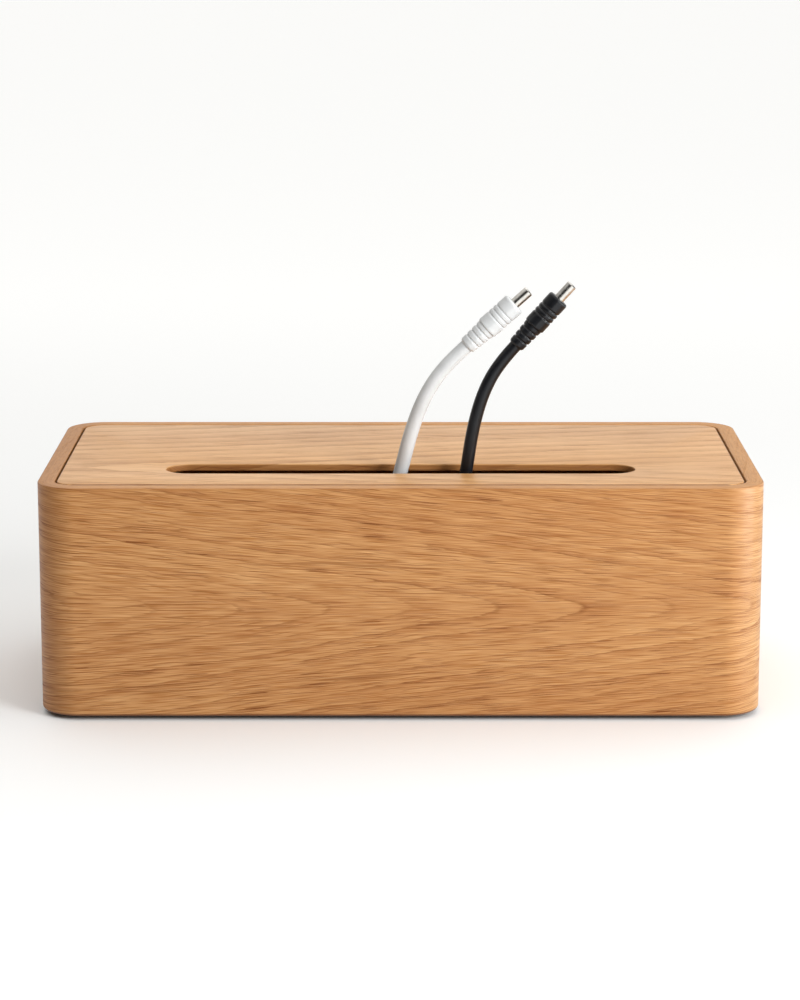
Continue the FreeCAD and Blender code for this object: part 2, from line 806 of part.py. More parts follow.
def coil_tie(name, line, centre, diameter):
    """A soft strap once round the coil's turns, on the side away from the free stretch.

    It goes round every turn that crosses the strap's plane, a clearance away from them."""
    away = FreeCAD.Vector(centre.x, 0, 0).normalize()
    reach = real("tie_width") / 2
    crossing = [
        spot for spot in line
        if abs(spot.y - centre.y) < reach + diameter / 2 and (spot - centre).dot(away) > 0
    ]
    outs = [(spot - centre).dot(away) for spot in crossing]
    ups = [spot.z for spot in crossing]
    spare = diameter / 2 + real("tie_clearance")
    middle_out, middle_up = (min(outs) + max(outs)) / 2, (min(ups) + max(ups)) / 2
    half_out, half_up = (max(outs) - min(outs)) / 2 + spare, (max(ups) - min(ups)) / 2 + spare

    def bar(grow):
        """A bar across the coil: a rectangle whose corners are as round as the cord, grown outwards."""
        wide, high, round_off = half_out + grow, half_up + grow, spare + grow
        spots = []
        for across, up in ((1, 1), (-1, 1), (-1, -1), (1, -1)):
            corner = FreeCAD.Vector(across * (wide - round_off), 0, up * (high - round_off))
            side = FreeCAD.Vector(across * round_off, 0, 0)
            top = FreeCAD.Vector(0, 0, up * round_off)
            slant = (side + top) * math.sqrt(0.5)
            ends = (side, top) if across * up > 0 else (top, side)
            spots.append([corner + ends[0], corner + slant, corner + ends[1]])
        edges = []
        for spot, following in zip(spots, spots[1:] + spots[:1]):
            edges.append(Part.Arc(*spot).toShape())
            if (following[0] - spot[2]).Length > real("tie_clearance") / 10:
                edges.append(Part.LineSegment(spot[2], following[0]).toShape())
        return Part.Face(Part.Wire(edges)).extrude(FreeCAD.Vector(0, 2 * reach, 0))

    strap = bar(real("tie_thickness")).cut(bar(0))
    strap.translate(centre + away * middle_out - FreeCAD.Vector(0, reach, centre.z - middle_up))
    feature = doc.addObject("Part::Feature", name)
    feature.Label = name
    feature.Shape = strap
    return feature


def lead(colour, route, sense):
    """One lead: its coil, its free stretch, a plug at the top and a socket in the box."""
    diameter = f"{colour}_cord_diameter"
    thick = real(diameter)
    points = [FreeCAD.Vector(*spot) for spot in route]
    edges, radii = route_edges(points)
    print(f"{colour}_cord_run: radii {', '.join(f'{radius:.0f}' for radius in radii)} mm")
    run = tube(f"{colour}_cord_run", edges, thick)

    leaving = (points[1] - points[0]).normalize()
    wound_end = points[0] - leaving * thick
    tail_height = real(f"{BASE_TOP} + rest_clearance + {diameter} / 2 + grip_wall")
    place_at, direction_at, centre = coil_line(
        thick, real(f"{colour}_coil_width"), wound_end, leaving, sense, tail_height
    )
    steps = math.ceil(2 * real("coil_turns"))
    stations = [(place_at(n / steps), direction_at(n / steps)) for n in range(steps + 1)]
    tail = stations[0][0] - stations[0][1] * thick
    head = stations[-1][0] + stations[-1][1] * thick
    turns = [Part.LineSegment(tail, stations[0][0]).toShape()]
    for (first, away), (last, arriving) in zip(stations, stations[1:]):
        turns += biarc(first, away, last, arriving)
    turns.append(Part.LineSegment(stations[-1][0], head).toShape())
    coil = tube(f"{colour}_cord_coil", turns, thick)
    line = least_gap(f"{colour}_cord_coil", turns, thick)
    print(f"{colour} coil ends {(head - points[0]).Length:.3f} mm from its free stretch")

    at_plug = aligned(points[-1], points[-1] * 2 - points[-2], f"{colour}_plug")
    at_socket = aligned(tail, tail - stations[0][1] * thick, f"{colour}_socket")
    return [
        run,
        coil,
        coil_tie(f"{colour}_coil_tie", line, centre, thick),
        relief(f"{colour}_plug_relief", diameter, at_plug),
        grip(f"{colour}_plug_grip", diameter, at_plug, bored=False),
        barrel(f"{colour}_plug_barrel", at_plug),
        relief(f"{colour}_socket_relief", diameter, at_socket),
        grip(f"{colour}_socket_grip", diameter, at_socket, bored=True),
        contact(f"{colour}_socket_contact", at_socket),
    ]


def build():
    pieces = [wall_band(), base_panel()]
    pieces += [foot(*spot) for spot in foot_spots()]
    pieces += [lid_rest(side, way, length, shares) for side, _, way, length, shares in SIDES]
    pieces += [rest_screws(), foot_screws(), lid_panel()]
    pieces += [lid_batten("left", "-1"), lid_batten("right", "1")]
    pieces += lead("white", WHITE_ROUTE, -1)
    pieces += lead("black", BLACK_ROUTE, 1)
    return pieces


def check(pieces):
    """Stops where an object failed or a piece has no valid shape."""
    doc.recompute()
    for thing in doc.Objects:
        if {"Invalid", "Error"} & set(thing.State):
            raise RuntimeError(f"{thing.Name} failed: {thing.State}")
    for piece in pieces:
        if piece.Shape.isNull() or not piece.Shape.isValid():
            raise RuntimeError(f"{piece.Label} has no valid shape")


PIECES = build()
check(PIECES)
os.makedirs("parts", exist_ok=True)
for piece in PIECES:
    piece.Shape.exportStep(f"parts/{piece.Label}.step")
    print(f"{piece.Label}: {len(piece.Shape.Solids)} solid(s), {piece.Shape.Volume / 1000:.1f} cubic centimetres")
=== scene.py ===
# %% [markdown]
# # A cable box of moulded oak, and two leads
#
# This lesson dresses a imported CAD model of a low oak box. The wall is one strip of ply that was bent
# round four corners, so its grain runs on from the front round to the sides. A loose lid lies flush in
# the rim, and two round leads, one white and one black, come up through its long slot.
#
# Everything is in metres. The box stands on z = 0, its front looks towards -Y, and +X is to the right.

# %% The model that everything is fitted to
import math

import bmesh
import bpy
import numpy as np
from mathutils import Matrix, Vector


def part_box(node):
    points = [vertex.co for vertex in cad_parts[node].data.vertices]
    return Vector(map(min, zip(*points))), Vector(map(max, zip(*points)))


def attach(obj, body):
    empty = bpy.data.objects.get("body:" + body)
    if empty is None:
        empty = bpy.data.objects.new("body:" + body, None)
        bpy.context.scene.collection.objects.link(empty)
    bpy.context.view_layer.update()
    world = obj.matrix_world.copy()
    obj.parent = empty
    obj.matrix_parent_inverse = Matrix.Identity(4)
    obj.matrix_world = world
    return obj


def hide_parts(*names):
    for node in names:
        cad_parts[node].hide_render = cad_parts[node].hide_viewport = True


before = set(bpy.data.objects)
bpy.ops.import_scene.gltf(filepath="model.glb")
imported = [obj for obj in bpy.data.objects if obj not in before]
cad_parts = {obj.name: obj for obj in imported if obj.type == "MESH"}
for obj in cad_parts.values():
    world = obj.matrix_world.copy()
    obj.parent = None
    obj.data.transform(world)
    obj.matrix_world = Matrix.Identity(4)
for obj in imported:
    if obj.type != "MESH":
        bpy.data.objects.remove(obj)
bpy.context.view_layer.update()

# %% Sizes that several pieces share
MM = 0.001
BOX_WIDTH, BOX_DEPTH = 360 * MM, 180 * MM
WALL_FOOT, RIM = 2 * MM, 118 * MM
WALL, CORNER = 8.5 * MM, 20 * MM
LID_UNDER, LID_GAP = 114.4 * MM, 1 * MM
SLOT_REACH, SLOT_HALF, SLOT_Y = 106.5 * MM, 12 * MM, -40.5 * MM
BASE_TOP = 11 * MM

# %% [markdown]
# ## The camera
#
# The photograph looks at the front from a little above with a long lens. The place and the lens come
# from the box's own edges in the picture: their heights and widths fix the tilt and the distance.

# %% The camera
def placed(name, data):
    """An object with the given data, linked into the scene."""
    made = bpy.data.objects.new(name, data)
    bpy.context.collection.objects.link(made)
    return made


camera_data = bpy.data.cameras.new("camera")
camera_data.lens = 110.22
camera_data.sensor_width = 36.0
camera = placed("camera", camera_data)
camera.location = (-0.0003, -1.5578, 0.4221)
camera.rotation_euler = (math.radians(78.08), 0, 0)
bpy.context.scene.camera = camera
print("camera at", tuple(camera.location))

# %% [markdown]
# ## From arrays to meshes
#
# A surface here is a table of points with two directions, rows and columns. A helper turns the table
# into four-sided faces, so that each shape stays readable as one formula.


# %% Helpers for surfaces
def quads(rows, columns, close_rows=False, close_columns=False):
    """The corner numbers of the faces between neighbouring rows and columns of a point table."""
    numbers = np.arange(rows * columns).reshape(rows, columns)
    if close_rows:
        numbers = np.vstack([numbers, numbers[:1]])
    if close_columns:
        numbers = np.hstack([numbers, numbers[:, :1]])
    corners = (numbers[:-1, :-1], numbers[:-1, 1:], numbers[1:, 1:], numbers[1:, :-1])
    return np.stack(corners, axis=-1).reshape(-1, 4)


def pairs(first, second):
    """Two columns side by side. A single number fills its whole column."""
    return np.column_stack(np.broadcast_arrays(first, second))


def smooth(amount):
    """Goes smoothly from 0 to 1 with the amount, and stays level before and after."""
    kept = np.clip(amount, 0, 1)
    return kept * kept * (3 - 2 * kept)


def read_all(items, key, each=1, kind=float):
    """One property of all vertices, faces or corners of a mesh as a table."""
    found = np.empty(len(items) * each, dtype=kind)
    items.foreach_get(key, found)
    return found.reshape(-1, each) if each > 1 else found


def surface(name, points, faces, finish, body, sharp=35):
    """A mesh object from points and faces, smooth except at edges sharper than the given degrees."""
    mesh = bpy.data.meshes.new(name)
    mesh.from_pydata(points.reshape(-1, 3), [], faces)
    shape = bmesh.new()
    shape.from_mesh(mesh)
    bmesh.ops.remove_doubles(shape, verts=shape.verts, dist=0.001 * MM)
    bmesh.ops.recalc_face_normals(shape, faces=shape.faces)
    shape.to_mesh(mesh)
    shape.free()
    mesh.polygons.foreach_set("use_smooth", np.ones(len(mesh.polygons), dtype=bool))
    mesh.set_sharp_from_angle(angle=math.radians(sharp))
    mesh.materials.append(finish)
    piece = placed(name, mesh)
    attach(piece, body)
    print(name, "has", len(mesh.polygons), "faces")
    return piece


# %% [markdown]
# ## Building a finish from nodes
#
# A finish is a small network of nodes. These helpers add one node each and return its output, so that
# a finish reads from top to bottom like a recipe.


# %% Helpers for finishes
def math_step(operation):
    """A method that adds one math node. It takes as many values as the operation has."""

    def step(self, *values, clamp=False):
        inputs = dict(enumerate(values))
        return self.node("ShaderNodeMath", inputs, operation=operation, use_clamp=clamp).outputs[0]

    return step


class Recipe:
    """The nodes of one material, or of the room, with a method for each kind that is needed.

    ramp(value, slope, start) is value * slope + start. swing goes up and down between 0 and its limit."""

    times, over, plus, less = map(math_step, ("MULTIPLY", "DIVIDE", "ADD", "SUBTRACT"))
    ramp, size, most, whole = map(math_step, ("MULTIPLY_ADD", "ABSOLUTE", "MAXIMUM", "FLOOR"))
    part, rest, root, sine, swing = map(math_step, ("FRACT", "MODULO", "SQRT", "SINE", "PINGPONG"))

    def __init__(self, name, room=None):
        self.material = room or bpy.data.materials.new(name)
        self.material.use_nodes = True
        self.tree = self.material.node_tree
        self.shader = self.tree.nodes["Background" if room else "Principled BSDF"]

    def feed(self, socket, value):
        """Joins an output to a socket, or sets a constant on it."""
        if isinstance(value, bpy.types.NodeSocket):
            self.tree.links.new(value, socket)
        else:
            socket.default_value = value

    def node(self, kind, inputs, **settings):
        made = self.tree.nodes.new(kind)
        for key, value in settings.items():
            setattr(made, key, value)
        for key, value in inputs.items():
            self.feed(made.inputs[key], value)
        return made

    def vector(self, x, y, z=0.0):
        return self.node("ShaderNodeCombineXYZ", {"X": x, "Y": y, "Z": z}).outputs[0]

    def noise(self, place, scale=1.0, detail=2.0, roughness=0.5):
        inputs = {"Vector": place, "Scale": scale, "Detail": detail, "Roughness": roughness}
        return self.node("ShaderNodeTexNoise", inputs).outputs[0]

    def ease(self, value, low, high, start=0.0, end=1.0):
        """Goes smoothly from start to end while the value goes from low to high."""
        inputs = {0: value, 1: low, 2: high, 3: start, 4: end}
        return self.node("ShaderNodeMapRange", inputs, interpolation_type="SMOOTHSTEP").outputs[0]

    def mix(self, share, first, second, how="MIX"):
        made = self.node("ShaderNodeMix", {}, data_type="RGBA", blend_type=how)
        for index, value in zip((0, 6, 7), (share, first, second)):
            self.feed(made.inputs[index], value)
        return made.outputs[2]

    def tinted(self, colour, tone):
        return self.mix(1.0, colour, tone, how="MULTIPLY")

    def bump(self, height, depth, strength=1.0):
        inputs = {"Height": height, "Distance": depth, "Strength": strength}
        self.feed(self.shader.inputs["Normal"], self.node("ShaderNodeBump", inputs).outputs[0])

    def split(self, place):
        return self.node("ShaderNodeSeparateXYZ", {0: place}).outputs

    def object_place(self):
        return tuple(self.split(self.node("ShaderNodeTexCoord", {}).outputs["Object"]))

    def uv_place(self, layer):
        return tuple(self.split(self.node("ShaderNodeUVMap", {}, uv_map=layer).outputs[0]))[:2]

    def shade(self, colour, roughness, specular=0.5):
        self.feed(self.shader.inputs["Base Color"], colour)
        self.feed(self.shader.inputs["Roughness"], roughness)
        self.feed(self.shader.inputs["Specular IOR Level"], specular)
        return self.material


def rgb(red, green, blue):
    return (red, green, blue, 1.0)


# %% [markdown]
# ## Oak
#
# A flat-sawn board cuts the tree's rings like nested bowls, and near the middle of the tree the lines
# close into long pointed arches. The pattern is the distance from the pith divided by the ring width,
# with the board tipped a little along its length. Each ring starts with a band of open pores, which
# show as fine dark dashes along the fibres. Noise pushes everything about.


# %% The oak figure
def oak_figure(recipe, along, across, kind):
    """Returns the ring bands and their lines, pores, streaks, fibres and the broad tone, each 0 to 1.

    Each ring also holds a few threads, thin dark lines that run beside its edge.
    Ring number = (distance from the pith line + slope * place along the board) / ring width, where the
    distance from the pith line = root of (closeness squared + (place across - pith line) squared).
    The fibres fan out a little: their own place across = place - pith line + fan * a bounded place
    along * a bounded place across, so they lean down on one side of the pith and up on the other."""
    seed, fibre = kind["seed"], kind["fibre"]
    noise, ease, times = recipe.noise, recipe.ease, recipe.times

    def grid(line, length, width, shift):
        """Coordinates in which one noise cell is so long along the board and so wide across the line."""
        return recipe.vector(recipe.over(along, length), recipe.over(line, width), seed + shift)

    def moved(line, texture, push):
        return recipe.ramp(recipe.less(texture, 0.5), push, line)

    def hump(value, start, full, fading, gone):
        """Rises to 1 from start to full, and goes back to 0 from fading to gone."""
        return times(ease(value, start, full), ease(value, fading, gone, 1.0, 0.0))

    slow = noise(grid(across, 160 * MM, 70 * MM, 0.0), detail=3.0)
    quick = noise(grid(across, 28 * MM, 7 * MM, 3.0))
    pushed = moved(moved(across, slow, kind["slow_push"]), quick, kind["quick_push"])
    off_pith = recipe.less(pushed, kind["pith"])
    distance = recipe.root(recipe.ramp(off_pith, off_pith, kind["closeness"] ** 2))
    lean = times(ease(along, -0.3, 0.3, -0.16, 0.16), kind["fan"])
    lean = times(lean, ease(off_pith, -50 * MM, 50 * MM, -1.0, 1.0))
    fibre_line = recipe.plus(moved(across, slow, 0.5 * kind["slow_push"]), lean)

    fibres = noise(grid(fibre_line, 0.6 * fibre, 0.40 * MM, 11.0), detail=1.5, roughness=0.7)
    feather = noise(grid(fibre_line, 0.4 * fibre, 0.6 * MM, 13.0), detail=1.0)
    number = recipe.over(recipe.ramp(along, kind["slope"], distance), kind["ring"])
    inner = recipe.part(times(number, kind["threads"]))
    number = moved(number, feather, kind["jagged"])
    part, order = recipe.part(number), recipe.whole(number)
    strength = recipe.node("ShaderNodeTexWhiteNoise", {"W": order}, noise_dimensions="1D").outputs[0]
    patches = ease(noise(grid(across, 60 * MM, 9 * MM, 41.0)), 0.36, 0.62, 0.5, 1.0)
    strength = times(recipe.ramp(strength, 0.6, 0.4), patches)
    bands = times(hump(part, 0.0, 0.12, 0.16, 0.75), strength)
    dashes = ease(noise(grid(fibre_line, 0.3 * fibre, 0.6 * MM, 37.0)), 0.40, 0.52, 0.5, 1.0)
    lines = times(times(hump(part, 0.0, 0.04, 0.05, 0.14), dashes), strength)
    kept = noise(grid(across, 45 * MM, 3.0 * MM, 43.0), detail=1.0)
    kept = ease(kept, 0.50, 0.64, 0.0, kind["thread_share"])
    kept = times(kept, ease(recipe.size(off_pith), 2 * MM, 8 * MM))
    lines = recipe.most(lines, times(hump(inner, 0.0, 0.10, 0.12, 0.30), kept))

    fine = noise(grid(fibre_line, 0.8 * fibre, 0.36 * MM, 17.0), detail=0.6)
    open_from = recipe.ramp(bands, -0.085, kind["pore_start"])
    pores = times(recipe.less(fine, open_from), 32.0, clamp=True)

    veins = noise(grid(fibre_line, 6.0 * fibre, 6.0 * MM, 23.0), detail=1.0, roughness=0.45)
    vein = ease(recipe.size(recipe.less(veins, 0.5)), 0.004, kind["streak_width"], 1.0, 0.0)
    shown = ease(noise(grid(fibre_line, 1.4 * fibre, 4.0 * MM, 29.0)), 0.42, 0.60)
    broad = noise(grid(across, 200 * MM, 30 * MM, 31.0), detail=3.0)
    return bands, lines, pores, times(vein, shown), fibres, broad


def oak_finish(recipe, along, across, kind):
    """Colour and roughness of oiled oak from its figure. The pores and fibres give it relief."""
    bands, lines, pores, streaks, fibres, broad = oak_figure(recipe, along, across, kind)
    colour = recipe.mix(recipe.ease(broad, 0.3, 0.7), kind["pale"], kind["deep"])
    colour = recipe.mix(recipe.times(bands, kind["band_share"]), colour, kind["band"])
    tone = recipe.mix(recipe.ease(fibres, 0.25, 0.75), kind["dark_fibre"], kind["pale_fibre"])
    colour = recipe.tinted(colour, tone)
    dark = recipe.times(lines, kind["line_share"])
    dark = recipe.most(dark, recipe.times(pores, kind["pore_share"]))
    dark = recipe.most(dark, recipe.times(streaks, kind["streak_share"]))
    colour = recipe.mix(dark, colour, kind["pore"])
    recipe.bump(recipe.less(recipe.times(fibres, 0.5), dark), 0.1 * MM, 0.5)
    return colour, recipe.ramp(dark, 0.2, kind["rough"])


# %% [markdown]
# The wall's veneer has its arches in the middle of the front, with their points to the right. Its
# pattern follows the strip's own length, measured round the corners, so it doesn't break there. Towards
# the left side the veneer is darkened by painted shade, and towards the right it is paled by a painted
# sheen.

# %% Oak for the wall
WALL_OAK = dict(
    seed=2.0, fibre=36 * MM, dark_fibre=rgb(0.70, 0.55, 0.31), pale_fibre=rgb(1.22, 1.42, 1.86),
    jagged=0.22, fan=0.10, slow_push=10 * MM, quick_push=2.4 * MM, pith=58 * MM, closeness=6 * MM,
    slope=0.155, ring=6.6 * MM, threads=3.0, thread_share=0.7, pale=rgb(0.530, 0.250, 0.0770),
    deep=rgb(0.482, 0.213, 0.0610), band=rgb(0.347, 0.110, 0.018), band_share=0.42, line_share=0.75,
    pore=rgb(0.19, 0.050, 0.001), pore_start=0.675, pore_share=1.0, streak_width=0.008, streak_share=0.45,
    rough=0.38,
)
# Where the painted shade on the left side and the painted sheen on the right side begin and are full.
PAINTED_SIDE_FROM, PAINTED_SIDE_FULL = 0.160, 0.179
RIM_PAINTED_SHADE_FROM, RIM_PAINTED_SHADE_FULL = 0.150, 0.176
veneer = Recipe("oak_wall")
round_strip, up_strip = veneer.uv_place("grain")
wall_colour, wall_rough = oak_finish(veneer, round_strip, up_strip, WALL_OAK)
wall_x = veneer.object_place()[0]
# Painted shade darkens the veneer towards the left side. A painted sheen makes it paler and cooler towards
# the right.
left_painted_shade = veneer.tinted(wall_colour, rgb(0.85, 0.74, 0.57))
painted_shade_share = veneer.ease(wall_x, -PAINTED_SIDE_FULL, -PAINTED_SIDE_FROM, 1.0, 0.0)
wall_colour = veneer.mix(painted_shade_share, wall_colour, left_painted_shade)
right_painted_sheen = veneer.tinted(wall_colour, rgb(0.97, 1.07, 1.22))
painted_sheen_share = veneer.ease(wall_x, PAINTED_SIDE_FROM, PAINTED_SIDE_FULL)
wall_colour = veneer.mix(painted_sheen_share, wall_colour, right_painted_sheen)

# %% [markdown]
# The rim is the strip's cut edge, banded with plainer wood and rubbed smooth. Its figure is faint and
# its colour warmer than the face's. On the left side the rim is darkened by painted shade. The
# grain's second coordinate goes on over the rim, and so it tells the face from the edge.

# %% The banded rim
on_rim = veneer.ease(up_strip, RIM + 0.1 * MM, RIM + 0.9 * MM)
speckle_place = veneer.vector(veneer.over(round_strip, 5 * MM), veneer.over(up_strip, 1.2 * MM), 3.0)
speckle = veneer.ease(veneer.noise(speckle_place, detail=3.0), 0.3, 0.7)
rim_plain = veneer.mix(speckle, rgb(0.545, 0.238, 0.058), rgb(0.675, 0.315, 0.083))
rim_colour = veneer.mix(0.7, wall_colour, rim_plain)
# Painted shade darkens the rim on the left side.
rim_painted_shade_share = veneer.ease(wall_x, -RIM_PAINTED_SHADE_FULL, -RIM_PAINTED_SHADE_FROM, 1.0, 0.0)
rim_colour = veneer.mix(rim_painted_shade_share, rim_colour, veneer.tinted(rim_colour, rgb(0.79, 0.765, 0.745)))
wall_colour = veneer.mix(on_rim, wall_colour, rim_colour)
wall_rough = veneer.ramp(on_rim, 0.10, wall_rough)

# %% [markdown]
# Ply shows its layers where it is cut: each layer is about a millimetre thick, and every second one
# shows its fibres' ends and is darker, with a thin glue line between. The same recipe colours the cut
# round the rear port, where depth is measured from the back, and the wall's foot, where the grain's
# second coordinate goes on under the wall.


# %% The layers of ply
def ply_layers(recipe, depth, along):
    """Colour by layer number = depth / thickness. A triangle wave of it, sharpened, tells odd from even."""
    number = recipe.over(depth, 1.2 * MM)
    wobble = recipe.noise(recipe.vector(recipe.over(along, 30 * MM), number), detail=2.0)
    wave = recipe.swing(recipe.plus(number, recipe.times(wobble, 0.3)), 1.0)
    ends_place = recipe.vector(recipe.over(along, 0.35 * MM), recipe.over(depth, 0.35 * MM))
    ends = recipe.noise(ends_place, detail=2.0)
    runs = recipe.noise(recipe.vector(recipe.over(along, 14 * MM), recipe.over(depth, 0.2 * MM)))
    crosswise = recipe.mix(recipe.ease(ends, 0.35, 0.65), rgb(0.20, 0.085, 0.030), rgb(0.36, 0.175, 0.070))
    lengthwise = recipe.mix(recipe.ease(runs, 0.3, 0.7), rgb(0.46, 0.245, 0.098), rgb(0.62, 0.365, 0.165))
    colour = recipe.mix(recipe.ease(wave, 0.42, 0.58), lengthwise, crosswise)
    glue = recipe.ease(recipe.size(recipe.less(wave, 0.5)), 0.03, 0.12, 1.0, 0.0)
    return recipe.mix(recipe.times(glue, 0.7), colour, rgb(0.10, 0.042, 0.018))


# %% The wall's foot and the port's edge
foot_depth = veneer.less(WALL_FOOT, up_strip)
on_foot = veneer.ease(foot_depth, 0.4 * MM, 0.9 * MM)
under_rim = veneer.mix(on_foot, wall_colour, ply_layers(veneer, foot_depth, round_strip))
# Painted shade darkens the wall's lowest millimetre, just above the gap over the floor.
foot_painted_shade = veneer.ease(up_strip, WALL_FOOT + 0.5 * MM, WALL_FOOT + 1.8 * MM, 1.0, 0.0)
under_rim = veneer.mix(foot_painted_shade, under_rim, veneer.tinted(under_rim, rgb(0.42, 0.32, 0.26)))
wall_oak = veneer.shade(under_rim, wall_rough, 0.40)

port = Recipe("port_ply")
port_x, port_y, port_z = port.object_place()
port_depth = port.less(BOX_DEPTH / 2, port_y)
port_colour = ply_layers(port, port_depth, port.plus(port_x, port_z))
port.bump(port.noise(port.vector(port_x, port_depth, port_z), scale=2500.0), 0.06 * MM, 0.5)
port_ply = port.shade(port_colour, 0.6, 0.3)

# %% [markdown]
# The lid is a paler piece with wider, straighter bands. It is flat, so its pattern can simply follow
# the object's own X and Y. Height is added to the place across, so that the slot's cut sides show
# streaks too.

# %% Oak for the lid
LID_OAK = dict(
    seed=7.0, fibre=46 * MM, dark_fibre=rgb(0.84, 0.80, 0.76), pale_fibre=rgb(1.12, 1.18, 1.30),
    jagged=0.25, fan=0.14, slow_push=14 * MM, quick_push=2.0 * MM, pith=80 * MM, closeness=8 * MM,
    slope=-0.2, ring=13 * MM, threads=5.0, thread_share=0.8, pale=rgb(0.78, 0.437, 0.176),
    deep=rgb(0.68, 0.356, 0.128), band=rgb(0.49, 0.205, 0.054), band_share=0.6, line_share=0.6,
    pore=rgb(0.30, 0.115, 0.029), pore_start=0.68, pore_share=0.85, streak_width=0.008, streak_share=0.4,
    rough=0.38,
)
board = Recipe("oak_lid")
lid_x, lid_y, lid_z = board.object_place()
lid_colour, lid_rough = oak_finish(board, lid_x, board.plus(lid_y, lid_z), LID_OAK)

# %% [markdown]
# The slot's sides and the board's outer edge are cut edges too. They are darker than the faces partly as cut
# wood and partly as painted shade. A thin line along the outer edge is darker still: painted shade in the
# groove round the lid.

# %% The lid's darker cut edges and painted shade
EDGE_X, EDGE_Y, EDGE_SOFT = 170.1 * MM, 80.1 * MM, 0.2 * MM
# The cut sides are darkened partly as cut wood and partly as painted shade in the slot.
cut_edge_and_shade = board.ease(lid_z, RIM - 0.9 * MM, RIM - 0.2 * MM, 1.0, 0.0)
lid_colour = board.mix(cut_edge_and_shade, lid_colour, board.tinted(lid_colour, rgb(0.66, 0.53, 0.43)))
# Painted shade in the groove: a thin dark line along the board's outer edge.
groove_shade_x = board.ease(board.size(lid_x), EDGE_X - EDGE_SOFT, EDGE_X + EDGE_SOFT)
groove_shade_y = board.ease(board.size(lid_y), EDGE_Y - EDGE_SOFT, EDGE_Y + EDGE_SOFT)
groove_painted_shade = board.tinted(lid_colour, rgb(0.34, 0.25, 0.20))
lid_colour = board.mix(board.most(groove_shade_x, groove_shade_y), lid_colour, groove_painted_shade)
lid_oak = board.shade(lid_colour, lid_rough, 0.24)

# %% [markdown]
# ## The wall
#
# The wall is a profile carried along a path. The path is the outer face seen from above, a rectangle
# with round corners. The profile is the cut through the wall: rounded at the foot and at the rim,
# eased inside, with the rabbet that holds the base. Every point lies its inset inside the path, along
# the path's normal. The strip's length round the path becomes the grain's own coordinate.


# %% The path round the wall
def round_path(width, depth, radius, steps):
    """Places and outward directions round a rectangle with round corners, and the length all round.

    It starts at the middle of the back and goes past the left side to the front. Straights are
    straight; a corner is centre + radius * (cos, sin)."""
    half_x, half_y = width / 2 - radius, depth / 2 - radius
    sideways = np.linspace(0, 1, max(steps // 2, 4))
    bend = np.linspace(0, math.pi / 2, 25)
    centres = [(-half_x, half_y), (-half_x, -half_y), (half_x, -half_y), (half_x, half_y)]
    starts = [math.pi / 2, math.pi, 1.5 * math.pi, 0.0]
    xs, ys, turned = [], [], []

    def line(start, end, share, angle):
        xs.append(start[0] + (end[0] - start[0]) * share)
        ys.append(start[1] + (end[1] - start[1]) * share)
        turned.append(np.full(len(share), angle))

    edge_x, edge_y = width / 2, depth / 2
    block = PORT_BLOCK_X / half_x
    out = np.concatenate([np.linspace(0, block, 8), block + (1 - block) * np.linspace(0, 1, steps)[1:]])
    line((0, edge_y), (-half_x, edge_y), out, math.pi / 2)
    runs = [
        ((-edge_x, half_y), (-edge_x, -half_y), sideways, math.pi),
        ((-half_x, -edge_y), (half_x, -edge_y), np.linspace(0, 1, 2 * steps + 1), 1.5 * math.pi),
        ((edge_x, -half_y), (edge_x, half_y), sideways, 0.0),
        ((half_x, edge_y), (0, edge_y), 1 - out[::-1], math.pi / 2),
    ]
    for (cx, cy), start, run in zip(centres, starts, runs):
        angle = start + bend[1:-1]
        xs.append(cx + radius * np.cos(angle))
        ys.append(cy + radius * np.sin(angle))
        turned.append(angle)
        line(*run)
    x, y, angle = np.concatenate(xs), np.concatenate(ys), np.concatenate(turned)
    length = np.hypot(np.diff(x), np.diff(y)).sum()
    return pairs(x, y), pairs(np.cos(angle), np.sin(angle)), length


PORT_BLOCK_X = 35 * MM
PORT_LOW, PORT_HIGH = 14 * MM, 48 * MM
PORT_REACH, PORT_RADIUS, PORT_Z = 17 * MM, 12 * MM, 31 * MM
BACK_INSIDE = BOX_DEPTH / 2 - WALL - MM
path, path_normal, path_length = round_path(BOX_WIDTH, BOX_DEPTH, CORNER, 12)
print("the strip is", round(float(path_length), 4), "m long")


# %% The profile through the wall
def quarter(centre, radius, start, steps):
    """A quarter circle of points (inset, height), turning clockwise from the start angle."""
    angle = start - np.linspace(0, math.pi / 2, steps)
    return pairs(centre[0] + radius * np.cos(angle), centre[1] + radius * np.sin(angle))


FOOT_ROUND, RIM_ROUND, EASE, RABBET = 2 * MM, 0.6 * MM, 0.6 * MM, 4 * MM
port_rows = np.linspace(PORT_LOW, PORT_HIGH, 7)
profile = np.concatenate([
    quarter((FOOT_ROUND, WALL_FOOT + FOOT_ROUND), FOOT_ROUND, 1.5 * math.pi, 9),
    pairs(0.0, port_rows),
    quarter((RIM_ROUND, RIM - RIM_ROUND), RIM_ROUND, math.pi, 9),
    quarter((WALL - EASE, RIM - EASE), EASE, 0.5 * math.pi, 5),
    pairs(WALL, port_rows[::-1]),
    [(WALL, BASE_TOP), (WALL - RABBET, BASE_TOP), (WALL - RABBET, WALL_FOOT)],
])
print("the profile has", len(profile), "points")

# %% [markdown]
# The rear port is a slot with round ends, cut through the back. The sweep leaves a rectangular hole
# there, and a second surface fills it with rings: the rectangle, the slot's eased edge, its wall, and
# the same again inside. Each ring's points lie one radius from the slot's middle line, on the way from
# it to the rectangle's points.


# %% The wall's mesh
def swept_wall():
    """Point (row, column) = path point - inset * normal, at the profile's height."""
    inset, height = profile[:, 0][:, None, None], profile[:, 1][:, None]
    flat = path[None] - inset * path_normal[None]
    tall = np.broadcast_to(height[..., None], flat.shape[:2] + (1,))
    return np.concatenate([flat, tall], axis=2)


